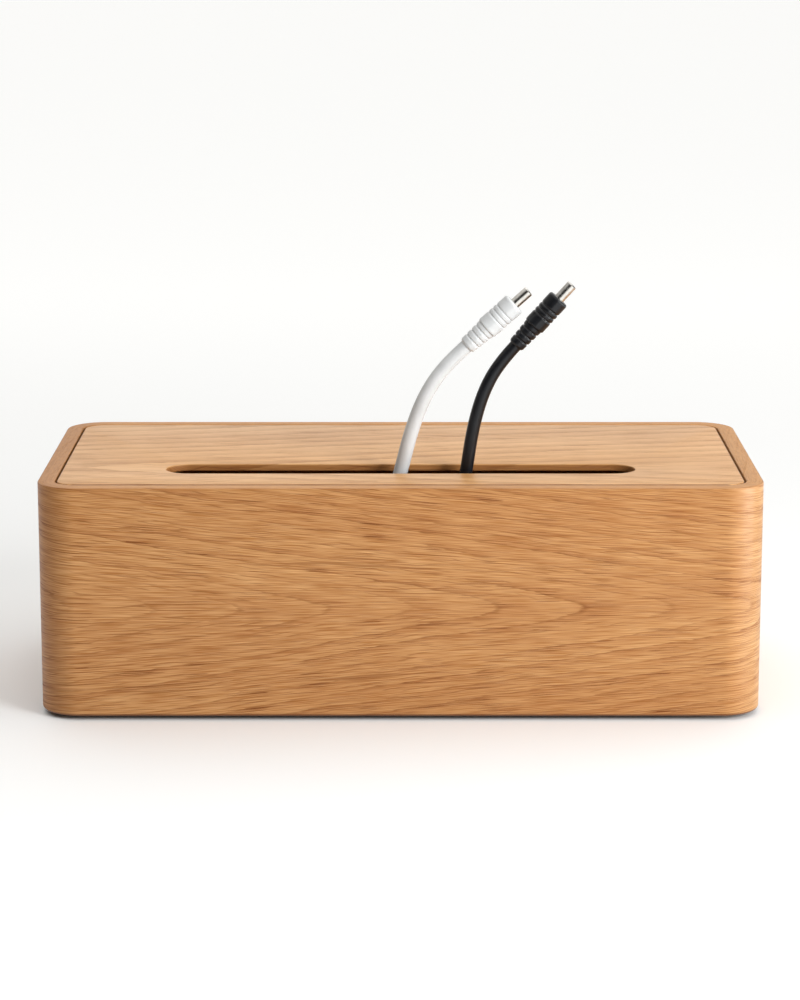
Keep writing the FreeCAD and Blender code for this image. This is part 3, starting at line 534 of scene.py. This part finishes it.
def port_rings():
    """Rings from the rectangle on the outer face, through the port, to the rectangle inside."""
    across = np.linspace(-PORT_BLOCK_X, PORT_BLOCK_X, 15)
    low, high = pairs(across, PORT_LOW), pairs(across[::-1], PORT_HIGH)
    right, left = pairs(PORT_BLOCK_X, port_rows), pairs(-PORT_BLOCK_X, port_rows[::-1])
    frame_ring = np.concatenate([low[:-1], right[:-1], high[:-1], left[:-1]])
    middle = pairs(np.clip(frame_ring[:, 0], -PORT_REACH, PORT_REACH), PORT_Z)
    outward = frame_ring - middle
    outward /= np.linalg.norm(outward, axis=1, keepdims=True)
    ease = 1 * MM
    rings = [(frame_ring, 0.0)]
    wide = PORT_RADIUS + ease
    for radius, inset in ((wide, 0.0), (PORT_RADIUS, ease), (PORT_RADIUS, WALL - ease), (wide, WALL)):
        rings.append((middle + radius * outward, inset))
    rings.append((frame_ring, WALL))
    return np.array([np.insert(ring, 1, BOX_DEPTH / 2 - inset, axis=1) for ring, inset in rings])


wall_points = swept_wall()
wall_faces = quads(*wall_points.shape[:2], close_rows=True)
x, y, z = wall_points.reshape(-1, 3)[wall_faces].mean(axis=1).T
in_port = (np.abs(x) < PORT_BLOCK_X) & (y > BACK_INSIDE) & (z > PORT_LOW) & (z < PORT_HIGH)
rings = port_rings()
ring_faces = quads(*rings.shape[:2], close_columns=True) + wall_points.size // 3
all_points = np.concatenate([wall_points.reshape(-1, 3), rings.reshape(-1, 3)])
wall = surface("wall_shell", all_points, np.concatenate([wall_faces[~in_port], ring_faces]), wall_oak, "box")
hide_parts("wall_band")

# %% The port's own finish
wall.data.materials.append(port_ply)
x, y, z = read_all(wall.data.polygons, "center", 3).T
from_line = np.hypot(x - np.clip(x, -PORT_REACH, PORT_REACH), z - PORT_Z)
cut_face = (y > BACK_INSIDE) & (from_line < PORT_RADIUS + 0.9 * MM)
wall.data.polygons.foreach_set("material_index", cut_face.astype(np.int32))
print("port has", int(cut_face.sum()), "cut faces")

# %% [markdown]
# The grain's coordinate is worked out from where a point is: how far round the strip, and how far up
# it and over the rim. It is stored as a UV map, face by face, so that the joint in the middle of the
# back can end on one side and begin on the other.


# %% The grain's coordinate
def strip_place(point, centre):
    """Length round the strip at a point, and the height with the inset added, from formulas alone.

    The corner's part of the length is angle * radius; the sign of x tells the strip's two halves."""
    half_x, half_y = BOX_WIDTH / 2 - CORNER, BOX_DEPTH / 2 - CORNER
    x, y, z = np.abs(point[..., 0]), point[..., 1], point[..., 2]
    side = np.where(centre[..., 0] < 0, -1.0, 1.0)
    dx, dy = x - half_x, np.abs(y) - half_y
    angle = np.arctan2(np.maximum(dx, 0), np.maximum(dy, 1e-9))
    corner = np.where(y < 0, angle, math.pi / 2 - angle) * CORNER
    in_corner = (dx > 0) & (dy > 0)
    front = np.where(in_corner, half_x + corner, x)
    bend = math.pi / 2 * CORNER
    beside = half_x + bend + y + half_y
    behind = half_x + bend + 2 * half_y
    back = np.where(in_corner, behind + corner, behind + bend + half_x - x)
    length = np.where(dy > 0, np.where(y < 0, front, back), beside)
    reach = np.where(in_corner, np.hypot(dx, dy), np.maximum(dx, dy))
    inset = CORNER - reach
    return side * length, z + np.where(z > PORT_HIGH, 1, -1) * inset


mesh = wall.data
corner_vertex = read_all(mesh.loops, "vertex_index", kind=np.int32)
corner_place = read_all(mesh.vertices, "co", 3)[corner_vertex]
corners_each = read_all(mesh.polygons, "loop_total", kind=np.int32)
corner_centre = np.repeat(read_all(mesh.polygons, "center", 3), corners_each, axis=0)
grain_round, grain_up = strip_place(corner_place, corner_centre)
grain = mesh.uv_layers.new(name="grain")
grain.data.foreach_set("uv", pairs(grain_round, grain_up).ravel())
print("grain runs from", round(float(grain_round.min()), 3), "m")

# %% [markdown]
# ## The lid
#
# The lid is a flat board with a long slot. Two outlines bound it: the slot, and the outer edge. Rings
# between them make the whole closed board: up the slot's side, over its eased edge, across the top,
# over the outer edge, down, and back along the underside.


# %% The lid's mesh
def lid_rings():
    """Each outer point is paired with the slot's point nearest to it: from the slot's middle line,
    one slot half-width towards the outer point. Rings mix the two outlines at each height."""
    inset = WALL + LID_GAP
    outline, outward, _ = round_path(BOX_WIDTH - 2 * inset, BOX_DEPTH - 2 * inset, CORNER - inset, 44)
    outline, outward = outline[:-1], outward[:-1]
    middle = pairs(np.clip(outline[:, 0], -SLOT_REACH, SLOT_REACH), SLOT_Y)
    away = outline - middle
    away /= np.linalg.norm(away, axis=1, keepdims=True)
    ease = 0.5 * MM
    turn = np.linspace(0, math.pi / 2, 5)
    rise, drawn = ease * np.sin(turn), ease * (1 - np.cos(turn))
    rings = [(middle + (SLOT_HALF + ease - up) * away, LID_UNDER + back) for up, back in zip(rise, drawn)]
    rings += [(middle + (SLOT_HALF + back) * away, RIM - ease + up) for up, back in zip(rise, drawn)]
    rings += [(outline - back * outward, RIM - ease + up) for up, back in zip(rise[::-1], drawn[::-1])]
    rings.append((outline, LID_UNDER))
    return np.array([np.insert(flat, 2, height, axis=1) for flat, height in rings])


lid_points = lid_rings()
lid_faces = quads(*lid_points.shape[:2], close_rows=True, close_columns=True)
lid = surface("lid_board", lid_points, lid_faces, lid_oak, "lid")
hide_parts("lid_panel")

# %% [markdown]
# ## The leads
#
# A lead is a fixed length of something that bends evenly, so its centre line is one smooth spline.
# It starts in a neat coil on the base, which puts away the length that isn't needed, and then rises
# through the slot and leans to the right. The coil winds in on the lower layer and out on the upper.

# %% The leads' routes
WHITE_ROUTE = np.array([
    (-51.5, -1.0, 25.8), (-40.0, -12.5, 25.8), (-28.0, -24.5, 32.7), (-19.2, -33.3, 44.6),
    (-12.5, -38.8, 64.0), (-7.3, -40.5, 89.0), (0.2, -40.5, 117.0), (5.7, -40.5, 139.0),
    (13.0, -40.5, 157.5), (23.4, -40.5, 172.0), (33.2, -40.5, 180.8),
]) * MM
BLACK_ROUTE = np.array([
    (66.5, -4.5, 24.8), (55.5, -15.5, 24.8), (44.3, -26.7, 31.8), (35.7, -34.8, 43.4),
    (30.2, -39.4, 62.0), (28.6, -40.5, 88.0), (33.2, -40.5, 117.0), (36.6, -40.5, 140.0),
    (41.8, -40.5, 158.0), (49.5, -40.5, 172.0), (57.7, -40.5, 181.0),
]) * MM
TURNS, TURN_GAP = 3.125, 0.6 * MM
SHEATH_REST, STRAP_REST = 2.6 * MM, 1.9 * MM


def unit(vector):
    return vector / np.linalg.norm(vector)


def coil(route, diameter, width, sense):
    """The coil's control points, its centre, and the place and direction where it meets its socket.

    Radius = outer radius - pitch * turns from the nearer end; height = the lower layer's, raised at
    the socket's end and again over that tail, plus a smooth climb half-way along."""
    leaving = unit(route[1] - route[0])
    end = route[0] - leaving * diameter
    pitch = diameter + TURN_GAP
    outer = width / 2 + pitch * TURNS / 4
    low = BASE_TOP + STRAP_REST + diameter / 2
    tail = BASE_TOP + SHEATH_REST + diameter / 2
    climb = end[2] - tail
    slant = math.atan2(pitch / math.tau, outer)
    last = math.atan2(leaving[1], leaving[0]) - sense * (math.tau / 4 - slant)
    centre = end - outer * np.array([math.cos(last), math.sin(last), 0])
    wound = np.linspace(0, TURNS, 51)
    radius = outer - pitch * np.minimum(wound, TURNS - wound)
    angle = last - sense * math.tau * (TURNS - wound)
    over_tail = smooth(2 * wound) - smooth(2 * (wound - TURNS) + 1)
    height = tail - (tail - low) * over_tail + climb * smooth(2 * wound - TURNS + 0.5)
    spread = radius * 1.006
    flat = pairs(centre[0] + spread * np.cos(angle), centre[1] + spread * np.sin(angle))
    points = np.column_stack([flat, height])
    centre[2] = 0
    start = np.array([centre[0] + outer * math.cos(angle[0]), centre[1] + outer * math.sin(angle[0]), tail])
    slid = slant * sense
    heading = sense * np.array([-math.sin(angle[0] + slid), math.cos(angle[0] + slid), 0])
    return points, centre, start - heading * diameter, -heading


# %% [markdown]
# ## Finishes for the leads
#
# Soft vinyl has an even colour and a broad sheen. What makes it look real is small: a slightly uneven
# skin, and a little dust and handling.


# %% Vinyl
def vinyl(name, colour, worn, rough, shine):
    """Vinyl with faint cloudy wear in its colour and sheen, and a very fine skin."""
    recipe = Recipe(name)
    place = recipe.vector(*recipe.object_place())
    cloud = recipe.noise(place, scale=90.0, detail=3.0)
    skin = recipe.noise(place, scale=2600.0, detail=1.0)
    shade = recipe.mix(recipe.ease(cloud, 0.35, 0.75), colour, worn)
    recipe.bump(skin, 0.03 * MM, 0.35)
    roughness = recipe.ramp(cloud, 0.16, rough)
    return recipe.shade(shade, roughness, shine)


white_vinyl = vinyl("white_vinyl", rgb(0.66, 0.675, 0.68), rgb(0.59, 0.605, 0.61), 0.34, 0.4)
black_vinyl = vinyl("black_vinyl", rgb(0.005, 0.0055, 0.007), rgb(0.010, 0.011, 0.014), 0.24, 0.36)


# %% The cords
def lead_cord(colour, route, diameter, width, sense, finish):
    """One NURBS spline through the coil's points and the route's, with a round section."""
    wound, centre, tail, outward = coil(route, diameter, width, sense)
    line = np.vstack([tail, wound, route])
    curve = bpy.data.curves.new(f"{colour}_lead", "CURVE")
    curve.dimensions = "3D"
    curve.bevel_depth = diameter / 2
    curve.bevel_resolution = 7
    curve.resolution_u = 10
    curve.use_fill_caps = True
    spline = curve.splines.new("NURBS")
    spline.points.add(len(line) - 1)
    spline.points.foreach_set("co", np.column_stack([line, np.ones(len(line))]).ravel())
    spline.order_u = 3
    spline.use_endpoint_u = True
    curve.materials.append(finish)
    cord = placed(f"{colour}_lead", curve)
    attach(cord, "box")
    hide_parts(f"{colour}_cord_run", f"{colour}_cord_coil")
    print(colour, "lead: coil centre", centre.round(4), "socket at", tail.round(4))
    return cord, tail, outward


LEADS = {
    "white": (WHITE_ROUTE, 7.2 * MM, 76 * MM, -1, white_vinyl),
    "black": (BLACK_ROUTE, 6.5 * MM, 70 * MM, 1, black_vinyl),
}
cords = {colour: lead_cord(colour, *lead) for colour, lead in LEADS.items()}

# %% [markdown]
# ## The moulded connectors
#
# A connector's body is moulded round the end of its lead in one shot. Where it meets the lead it is a
# tapered relief with slots, which lets it bend softly, and further on a grip with three grooves. Both
# are round, so each is a profile turned about the connector's axis. The mould's two halves leave a
# faint line along each side.


# %% Turned pieces
def frame_along(axis):
    """Two directions square to an axis and to each other."""
    side = unit(np.cross(axis, [0.0, 0.0, 1.0] if abs(axis[2]) < 0.9 else [1.0, 0.0, 0.0]))
    return side, np.cross(axis, side)


def turned(profile, start, axis, columns, seam=0.0):
    """Point (row, column) = start + axis * along + radius * (cosine * side + sine * up).

    The seam's height is added to the radius at two opposite angles, in a narrow bell shape."""
    side, up = frame_along(axis)
    angle = np.arange(columns) / columns * math.tau
    along, radius = profile[:, 0][:, None], profile[:, 1][:, None]
    bell = np.exp(-((np.sin(angle) / 0.09) ** 2))[None]
    reach = radius + seam * bell * (radius > 1.5 * MM)
    around = np.cos(angle)[:, None] * side + np.sin(angle)[:, None] * up
    return start + along[..., None] * axis + reach[..., None] * around[None]


# %% The connector's profile
RELIEF, GRIP, BARREL = 13 * MM, 19 * MM, 9.5 * MM
GROOVES = (0.32, 0.46, 0.6)


def connector_profile(cord, bored):
    """(place along, radius) from the lead to the face.

    Relief radius = straight taper - slot depth * a clipped cosine. Grip radius = full radius - groove
    depth * a bell at each groove, with its two ends rounded by a quarter circle."""
    relief = np.linspace(0, RELIEF, 61)
    taper = cord + 0.9 * MM + 0.8 * MM * relief / RELIEF
    slots = np.clip(1.6 * np.cos(math.tau * 4 * (relief / RELIEF - 0.56)) - 0.6, 0, 1)
    inside = (relief > 0.18 * RELIEF) & (relief < 0.93 * RELIEF)
    relief_radius = taper - 0.55 * MM * slots * inside
    relief_radius -= 0.45 * MM * np.clip(1 - relief / (0.9 * MM), 0, 1)
    full, edge = cord + 2.3 * MM, 1.2 * MM
    turn = np.linspace(0, math.pi / 2, 7)
    middle = np.linspace(edge, GRIP - edge, 90)
    bells = sum(np.exp(-(((middle - (share * GRIP + 0.7 * MM)) / (0.42 * MM)) ** 2)) for share in GROOVES)
    grip = np.concatenate([
        pairs(edge - edge * np.cos(turn), full - edge + edge * np.sin(turn)),
        pairs(middle, full - 0.5 * MM * bells),
        pairs(GRIP - edge + edge * np.sin(turn), full - edge + edge * np.cos(turn)),
    ])
    grip[:, 0] += RELIEF
    face = RELIEF + GRIP
    if bored:
        bore, floor = 3.65 * MM, face - BARREL - 0.6 * MM
        end = [(face, bore + 0.3 * MM), (face - 0.3 * MM, bore), (floor, bore), (floor, 0)]
    else:
        end = [(face, 0)]
    return np.concatenate([[(0, 0)], pairs(relief, relief_radius), grip, end])


# %% The four connectors
def connector(colour, kind, cord, place, axis, finish, bored):
    points = turned(connector_profile(cord, bored), place, axis, 96, 0.07 * MM)
    faces = quads(*points.shape[:2], close_columns=True)
    piece = surface(f"{colour}_{kind}_mould", points, faces, finish, "box", sharp=50)
    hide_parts(f"{colour}_{kind}_relief", f"{colour}_{kind}_grip")
    return piece


for colour, (route, thickness, _, _, finish) in LEADS.items():
    _, tail, outward = cords[colour]
    rising = unit(route[-1] - route[-2])
    connector(colour, "plug", thickness / 2, route[-1], rising, finish, False)
    connector(colour, "socket", thickness / 2, tail, outward, finish, True)

# %% [markdown]
# ## The straps
#
# A soft hook strap holds each coil. It goes round the turns a little more than once, and its free end
# lies on itself, so its line is a rounded rectangle that slowly grows. Its section, a thin bar with
# round edges, is carried along that line. The weave follows the strap's length and width.


# %% Woven webbing
RIB_LENGTH, RIB_WIDTH = 1.1 * MM, 0.8 * MM


def webbing():
    """Charcoal webbing. Ribs = sine along * sine across, shifted by half a rib in every second row."""
    recipe = Recipe("strap_webbing")
    along, across = recipe.uv_place("weave")
    row = recipe.whole(recipe.over(across, RIB_WIDTH))
    shift = recipe.times(recipe.rest(row, 2.0), 0.5)
    along_rib = recipe.plus(recipe.over(along, RIB_LENGTH), shift)
    loops = recipe.size(recipe.sine(recipe.times(along_rib, math.pi)))
    rows = recipe.size(recipe.sine(recipe.times(across, math.pi / RIB_WIDTH)))
    rib = recipe.times(loops, rows)
    fluff = recipe.noise(recipe.vector(along, across), scale=1800.0, detail=3.0)
    colour = recipe.mix(rib, rgb(0.012, 0.012, 0.014), rgb(0.060, 0.061, 0.066))
    colour = recipe.mix(recipe.ease(fluff, 0.5, 0.8, 0.0, 0.35), colour, rgb(0.12, 0.12, 0.125))
    recipe.bump(recipe.ramp(fluff, 0.3, rib), 0.2 * MM, 0.8)
    return recipe.shade(colour, recipe.ramp(fluff, 0.2, 0.75), 0.3)


strap_webbing = webbing()
LAYER, STRAP_ROOM = 0.5 * MM, 1.2 * MM


# %% The straps' mesh
def strap(colour, cord):
    """Line point k = corner centre k + (corner radius + offset k) * direction k, where the offset goes
    smoothly from the lower layer to the upper one in one time round."""
    low, high = (np.array(corner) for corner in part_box(f"{colour}_coil_tie"))
    centre, half = (low + high) / 2, (high - low) / 2
    radius = cord + 0.4 * MM
    arc = np.linspace(0, math.pi / 2, 9)
    heading = np.concatenate([arc + quarter_turn * math.pi / 2 for quarter_turn in (1, 2, 3, 4, 5)])
    signs = np.repeat([(-1, 1), (-1, -1), (1, -1), (1, 1), (-1, 1)], 9, axis=0)
    inner = half[[0, 2]] - STRAP_ROOM - radius
    offset = LAYER * (0.55 + 1.15 * smooth(np.arange(len(heading)) / 36))
    normal = pairs(np.cos(heading), np.sin(heading))
    line = signs * inner + (radius + offset)[:, None] * normal
    width, thick = half[1], LAYER / 2
    flat = np.linspace(-width + thick, width - thick, 15)
    edge = np.linspace(math.pi / 2, -math.pi / 2, 5)[1:-1]
    section = np.concatenate([
        pairs(flat, thick),
        pairs(width - thick + thick * np.cos(edge), thick * np.sin(edge)),
        pairs(flat[::-1], -thick),
        pairs(-width + thick - thick * np.cos(edge), -thick * np.sin(edge)),
    ])
    spread = line[:, None, :] + section[None, :, 1:] * normal[:, None, :]
    across = np.broadcast_to(section[:, 0], spread.shape[:2])
    points = np.stack([spread[..., 0], across, spread[..., 1]], axis=2) + centre
    rows, columns = points.shape[:2]
    numbers = np.arange(rows * columns).reshape(rows, columns)
    faces = quads(rows, columns, close_columns=True).tolist() + [numbers[0].tolist(), numbers[-1].tolist()]
    piece = surface(f"{colour}_strap", points, faces, strap_webbing, "box", sharp=60)
    run = np.concatenate([[0], np.cumsum(np.linalg.norm(np.diff(line, axis=0), axis=1))])
    place = np.stack([np.broadcast_to(run[:, None], across.shape), across], axis=2).reshape(-1, 2)
    vertex = read_all(piece.data.loops, "vertex_index", kind=np.int32)
    piece.data.uv_layers.new(name="weave").data.foreach_set("uv", place[vertex].ravel())
    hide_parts(f"{colour}_coil_tie")
    return piece


straps = {colour: strap(colour, lead[1] / 2) for colour, lead in LEADS.items()}

# %% The cords' lengths, listed but not used
for colour, length in (("white", 0.963), ("black", 0.896)):
    cord, tail, _ = cords[colour]

# %% [markdown]
# ## Screws
#
# The rests are screwed to the wall with countersunk screws, and the feet to the base with round-headed
# ones. A head is a disc of rings whose points are sunk where the cross recess is. The recess is a soft
# product of two steps, one across an arm and one along it, so its walls lean as a punched recess does.


# %% A screw's mesh
def step(value, width):
    """Goes smoothly from 1 to 0 while the value goes from minus to plus the width."""
    return 1 - smooth((value + width) / (2 * width))


def screw_points(head, crown, arm, recess, shank, place, axis, columns=64):
    """Head point = radius * direction, at crown height * (1 - (radius / head) ^ 4) less the recess.

    The shank's profile of (along, radius) follows below the head."""
    side, up = frame_along(axis)
    angle = np.arange(columns) / columns * math.tau
    radius = np.linspace(0, head, 34)[:, None]
    across, over = radius * np.cos(angle), radius * np.sin(angle)
    slot_a = step(np.abs(over) - 0.16 * arm, 0.10 * arm) * step(np.abs(across) - arm, 0.18 * arm)
    slot_b = step(np.abs(across) - 0.16 * arm, 0.10 * arm) * step(np.abs(over) - arm, 0.18 * arm)
    high = crown * (1 - (radius / head) ** 4) - recess * np.maximum(slot_a, slot_b)
    face = place + high[..., None] * axis + across[..., None] * side + over[..., None] * up
    return np.concatenate([face, turned(shank, place, axis, columns)])


def screw_set(name, screws, node, finish):
    tables = [screw_points(*screw) for screw in screws]
    faces, start = [], 0
    for table in tables:
        faces.append(quads(*table.shape[:2], close_columns=True) + start)
        start += table.shape[0] * table.shape[1]
    points = np.concatenate([table.reshape(-1, 3) for table in tables])
    piece = surface(name, points, np.concatenate(faces), finish, "box", sharp=40)
    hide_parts(node)
    return piece


# %% Metal finishes
def metal(name, bright, dull, rough, grain):
    """Plated metal: two tones in clouds, and fine scratches in the sheen."""
    recipe = Recipe(name)
    x, y, z = recipe.object_place()
    cloud = recipe.noise(recipe.vector(x, y, z), scale=grain, detail=4.0, roughness=0.6)
    scratch = recipe.noise(recipe.vector(x, y, recipe.times(z, 14.0)), scale=1400.0, detail=2.0)
    colour = recipe.mix(recipe.ease(cloud, 0.35, 0.65), dull, bright)
    recipe.bump(scratch, 0.02 * MM, 0.35)
    recipe.shader.inputs["Metallic"].default_value = 1.0
    roughness = recipe.ramp(recipe.plus(cloud, scratch), 0.14, rough)
    return recipe.shade(colour, roughness)


zinc_steel = metal("zinc_steel", rgb(0.66, 0.67, 0.68), rgb(0.42, 0.43, 0.44), 0.22, 420.0)
bright_nickel = metal("bright_nickel", rgb(0.78, 0.76, 0.72), rgb(0.62, 0.60, 0.56), 0.10, 300.0)

# %% The two sets of screws
REST_TOP_Z, REST_INNER_X, REST_INNER_Y = 109.9 * MM, 161.5 * MM, 71.5 * MM
rest_shank = np.array([(0, 3), (-0.25, 3), (-1.8, 1.5), (-13, 1.5), (-15, 0)]) * MM
REST_SCREW_X, REST_SCREW_Y = (-126.4 * MM, 0.0, 126.4 * MM), (-46.24 * MM, 46.24 * MM)
rest_places = [((x, -side * REST_INNER_Y), (0, side)) for side in (1, -1) for x in REST_SCREW_X]
rest_places += [((-side * REST_INNER_X, y), (side, 0)) for side in (1, -1) for y in REST_SCREW_Y]
rest_heads = []
for (x, y), (face_x, face_y) in rest_places:
    place, axis = np.array([x, y, REST_TOP_Z]), np.array([face_x, face_y, 0.0])
    rest_heads.append((3 * MM, 0.0, 1.7 * MM, 1.1 * MM, rest_shank, place, axis))
screw_set("rest_screw_set", rest_heads, "rest_screws", zinc_steel)

foot_shank = np.array([(0, 3.4), (-0.8, 3.4), (-1.6, 3.4), (-1.6, 1.5), (-6.6, 1.5), (-8.6, 0)]) * MM
down = np.array([0.0, 0.0, -1.0])
foot_heads = []
for x, y in ((-146, -60), (146, -60), (-146, 60), (146, 60)):
    place = np.array([x * MM, y * MM, 1.8 * MM])
    foot_heads.append((3.4 * MM, 0.8 * MM, 2.0 * MM, 1.1 * MM, foot_shank, place, down))
screw_set("foot_screw_set", foot_heads, "foot_screws", zinc_steel)

# %% [markdown]
# ## Finishes for the pieces inside
#
# The base is faced with a pale, nearly straight-grained veneer. The rests and battens are sawn strips,
# whose grain runs along each strip. The feet are dark rubber with a fine skin and a trace of dust.

# %% Straight-grained wood
PLY_OAK = dict(
    LID_OAK, seed=13.0, fibre=60 * MM, fan=0.0, slow_push=10 * MM, pith=-150 * MM, closeness=40 * MM,
    slope=0.02, ring=8 * MM, threads=2.0, thread_share=0.4, pale=rgb(0.60, 0.40, 0.205),
    deep=rgb(0.52, 0.335, 0.165), band=rgb(0.41, 0.235, 0.10), pore=rgb(0.27, 0.135, 0.052),
    pore_start=0.66, rough=0.55,
)
STRIP_OAK = dict(
    PLY_OAK, seed=17.0, fibre=30 * MM, slow_push=3 * MM, ring=3.2 * MM, pale=rgb(0.62, 0.385, 0.175),
    deep=rgb(0.54, 0.315, 0.135), band=rgb(0.40, 0.20, 0.075), slope=0.05, rough=0.6,
)


def sawn_wood(name, kind, lengthwise):
    """Wood whose grain runs along the object's X (lengthwise 0) or Y (1), with Z added across."""
    recipe = Recipe(name)
    place = recipe.object_place()
    across = recipe.ramp(place[2], 0.9, place[1 - lengthwise])
    colour, rough = oak_finish(recipe, place[lengthwise], across, kind)
    return recipe.shade(colour, rough, 0.3)


def rubber(name):
    """Cast rubber: near black, with a pebbled skin and patches of pale dust."""
    recipe = Recipe(name)
    place = recipe.vector(*recipe.object_place())
    pebble = recipe.node("ShaderNodeTexVoronoi", {"Vector": place, "Scale": 1300.0}).outputs[0]
    dust = recipe.noise(place, scale=160.0, detail=5.0, roughness=0.65)
    dusty = recipe.ease(dust, 0.5, 0.75, 0.0, 0.5)
    colour = recipe.mix(dusty, rgb(0.022, 0.021, 0.020), rgb(0.075, 0.070, 0.064))
    recipe.bump(pebble, 0.08 * MM, 0.4)
    return recipe.shade(colour, recipe.ramp(dust, 0.25, 0.6), 0.35)


# %% Giving them out
def finish_nodes(finish, *names):
    for name in names:
        node = bpy.data.objects[name]
        if not node.material_slots:
            node.data.materials.append(None)
        for place in node.material_slots:
            place.link = "OBJECT"
            place.material = finish


finish_nodes(sawn_wood("base_ply", PLY_OAK, 0), "base_panel")
finish_nodes(sawn_wood("strip_lengthwise", STRIP_OAK, 0), "lid_rest_front", "lid_rest_back")
crosswise_strip = sawn_wood("strip_crosswise", STRIP_OAK, 1)
foot_rubber = rubber("foot_rubber_skin")
for side in ("left", "right"):
    finish_nodes(crosswise_strip, f"lid_rest_{side}", f"lid_batten_{side}")
    finish_nodes(foot_rubber, f"foot_front_{side}", f"foot_back_{side}")
for colour in ("white", "black"):
    finish_nodes(bright_nickel, f"{colour}_plug_barrel", f"{colour}_socket_contact")

# %% [markdown]
# ## The studio
#
# The photograph is almost white all round, and no line parts the floor from what is behind it. The
# camera looks down a little, so a floor that goes on for a few metres fills the whole picture. The
# light is a white room and two soft panels on the right. The square one at the front lights the face
# and leaves a faint shadow on the floor at the left. The long low one puts the sheen on the right
# corner. Nothing lights the left corner but the room.

# %% Floor
FLOOR_REACH = 12.0
pale = Recipe("pale_floor")
far_off = pale.object_place()[1]
pale.feed(pale.shader.inputs["Emission Color"], rgb(1.0, 0.997, 0.99))
pale.feed(pale.shader.inputs["Emission Strength"], pale.ease(far_off, 0.2, 1.5, 0.0, 0.165))
floor_mesh = bpy.data.meshes.new("floor")
floor_corners = [(x, y, 0.0) for y in (-FLOOR_REACH, FLOOR_REACH) for x in (-FLOOR_REACH, FLOOR_REACH)]
floor_mesh.from_pydata(floor_corners, [], quads(2, 2))
floor_mesh.materials.append(pale.shade(rgb(0.945, 0.957, 0.962), 0.9, 0.1))
floor = placed("floor", floor_mesh)

# %% [markdown]
# The room is bright behind and overhead and dark in front and at the sides. Each part grows smoothly
# with how far a direction points that way, and the two parts are added.

# %% The white room
ROOM_BACK, ROOM_TOP = 1.02, 1.22
world = bpy.data.worlds.new("white_room")
sky = Recipe("white_room", world)
_, back, top = sky.split(sky.node("ShaderNodeTexCoord", {}).outputs["Generated"])
bright = sky.plus(sky.ease(back, 0.3, 0.9, 0.0, ROOM_BACK), sky.ease(top, 0.4, 0.9, 0.0, ROOM_TOP))
sky.feed(sky.shader.inputs["Strength"], bright)
sky.feed(sky.shader.inputs["Color"], rgb(1.0, 0.985, 0.96))
bpy.context.scene.world = world
bpy.context.scene.view_settings.view_transform = "Standard"


# %% The soft box
def soft_box(name, place, target, size, watts, colour):
    """A panel of light that looks from its place to the target."""
    light = bpy.data.lights.new(name, "AREA")
    light.shape = "RECTANGLE"
    light.size, light.size_y = size
    light.energy = watts
    light.color = colour
    lamp = placed(name, light)
    lamp.location = place
    away = np.array(place) - np.array(target)
    turn = math.atan2(away[0], -away[1])
    lean = math.atan2(math.hypot(away[0], away[1]), away[2])
    lamp.rotation_euler = (lean, 0, turn)


soft_box("key_right", (0.92, -1.0, 0.62), (0, 0, 0.06), (0.5, 0.5), 13.0, (0.99, 0.995, 1.0))
soft_box("side_right", (1.43, -0.46, 0.13), (0, 0, 0.06), (0.8, 0.2), 11.8, (0.97, 0.99, 1.0))
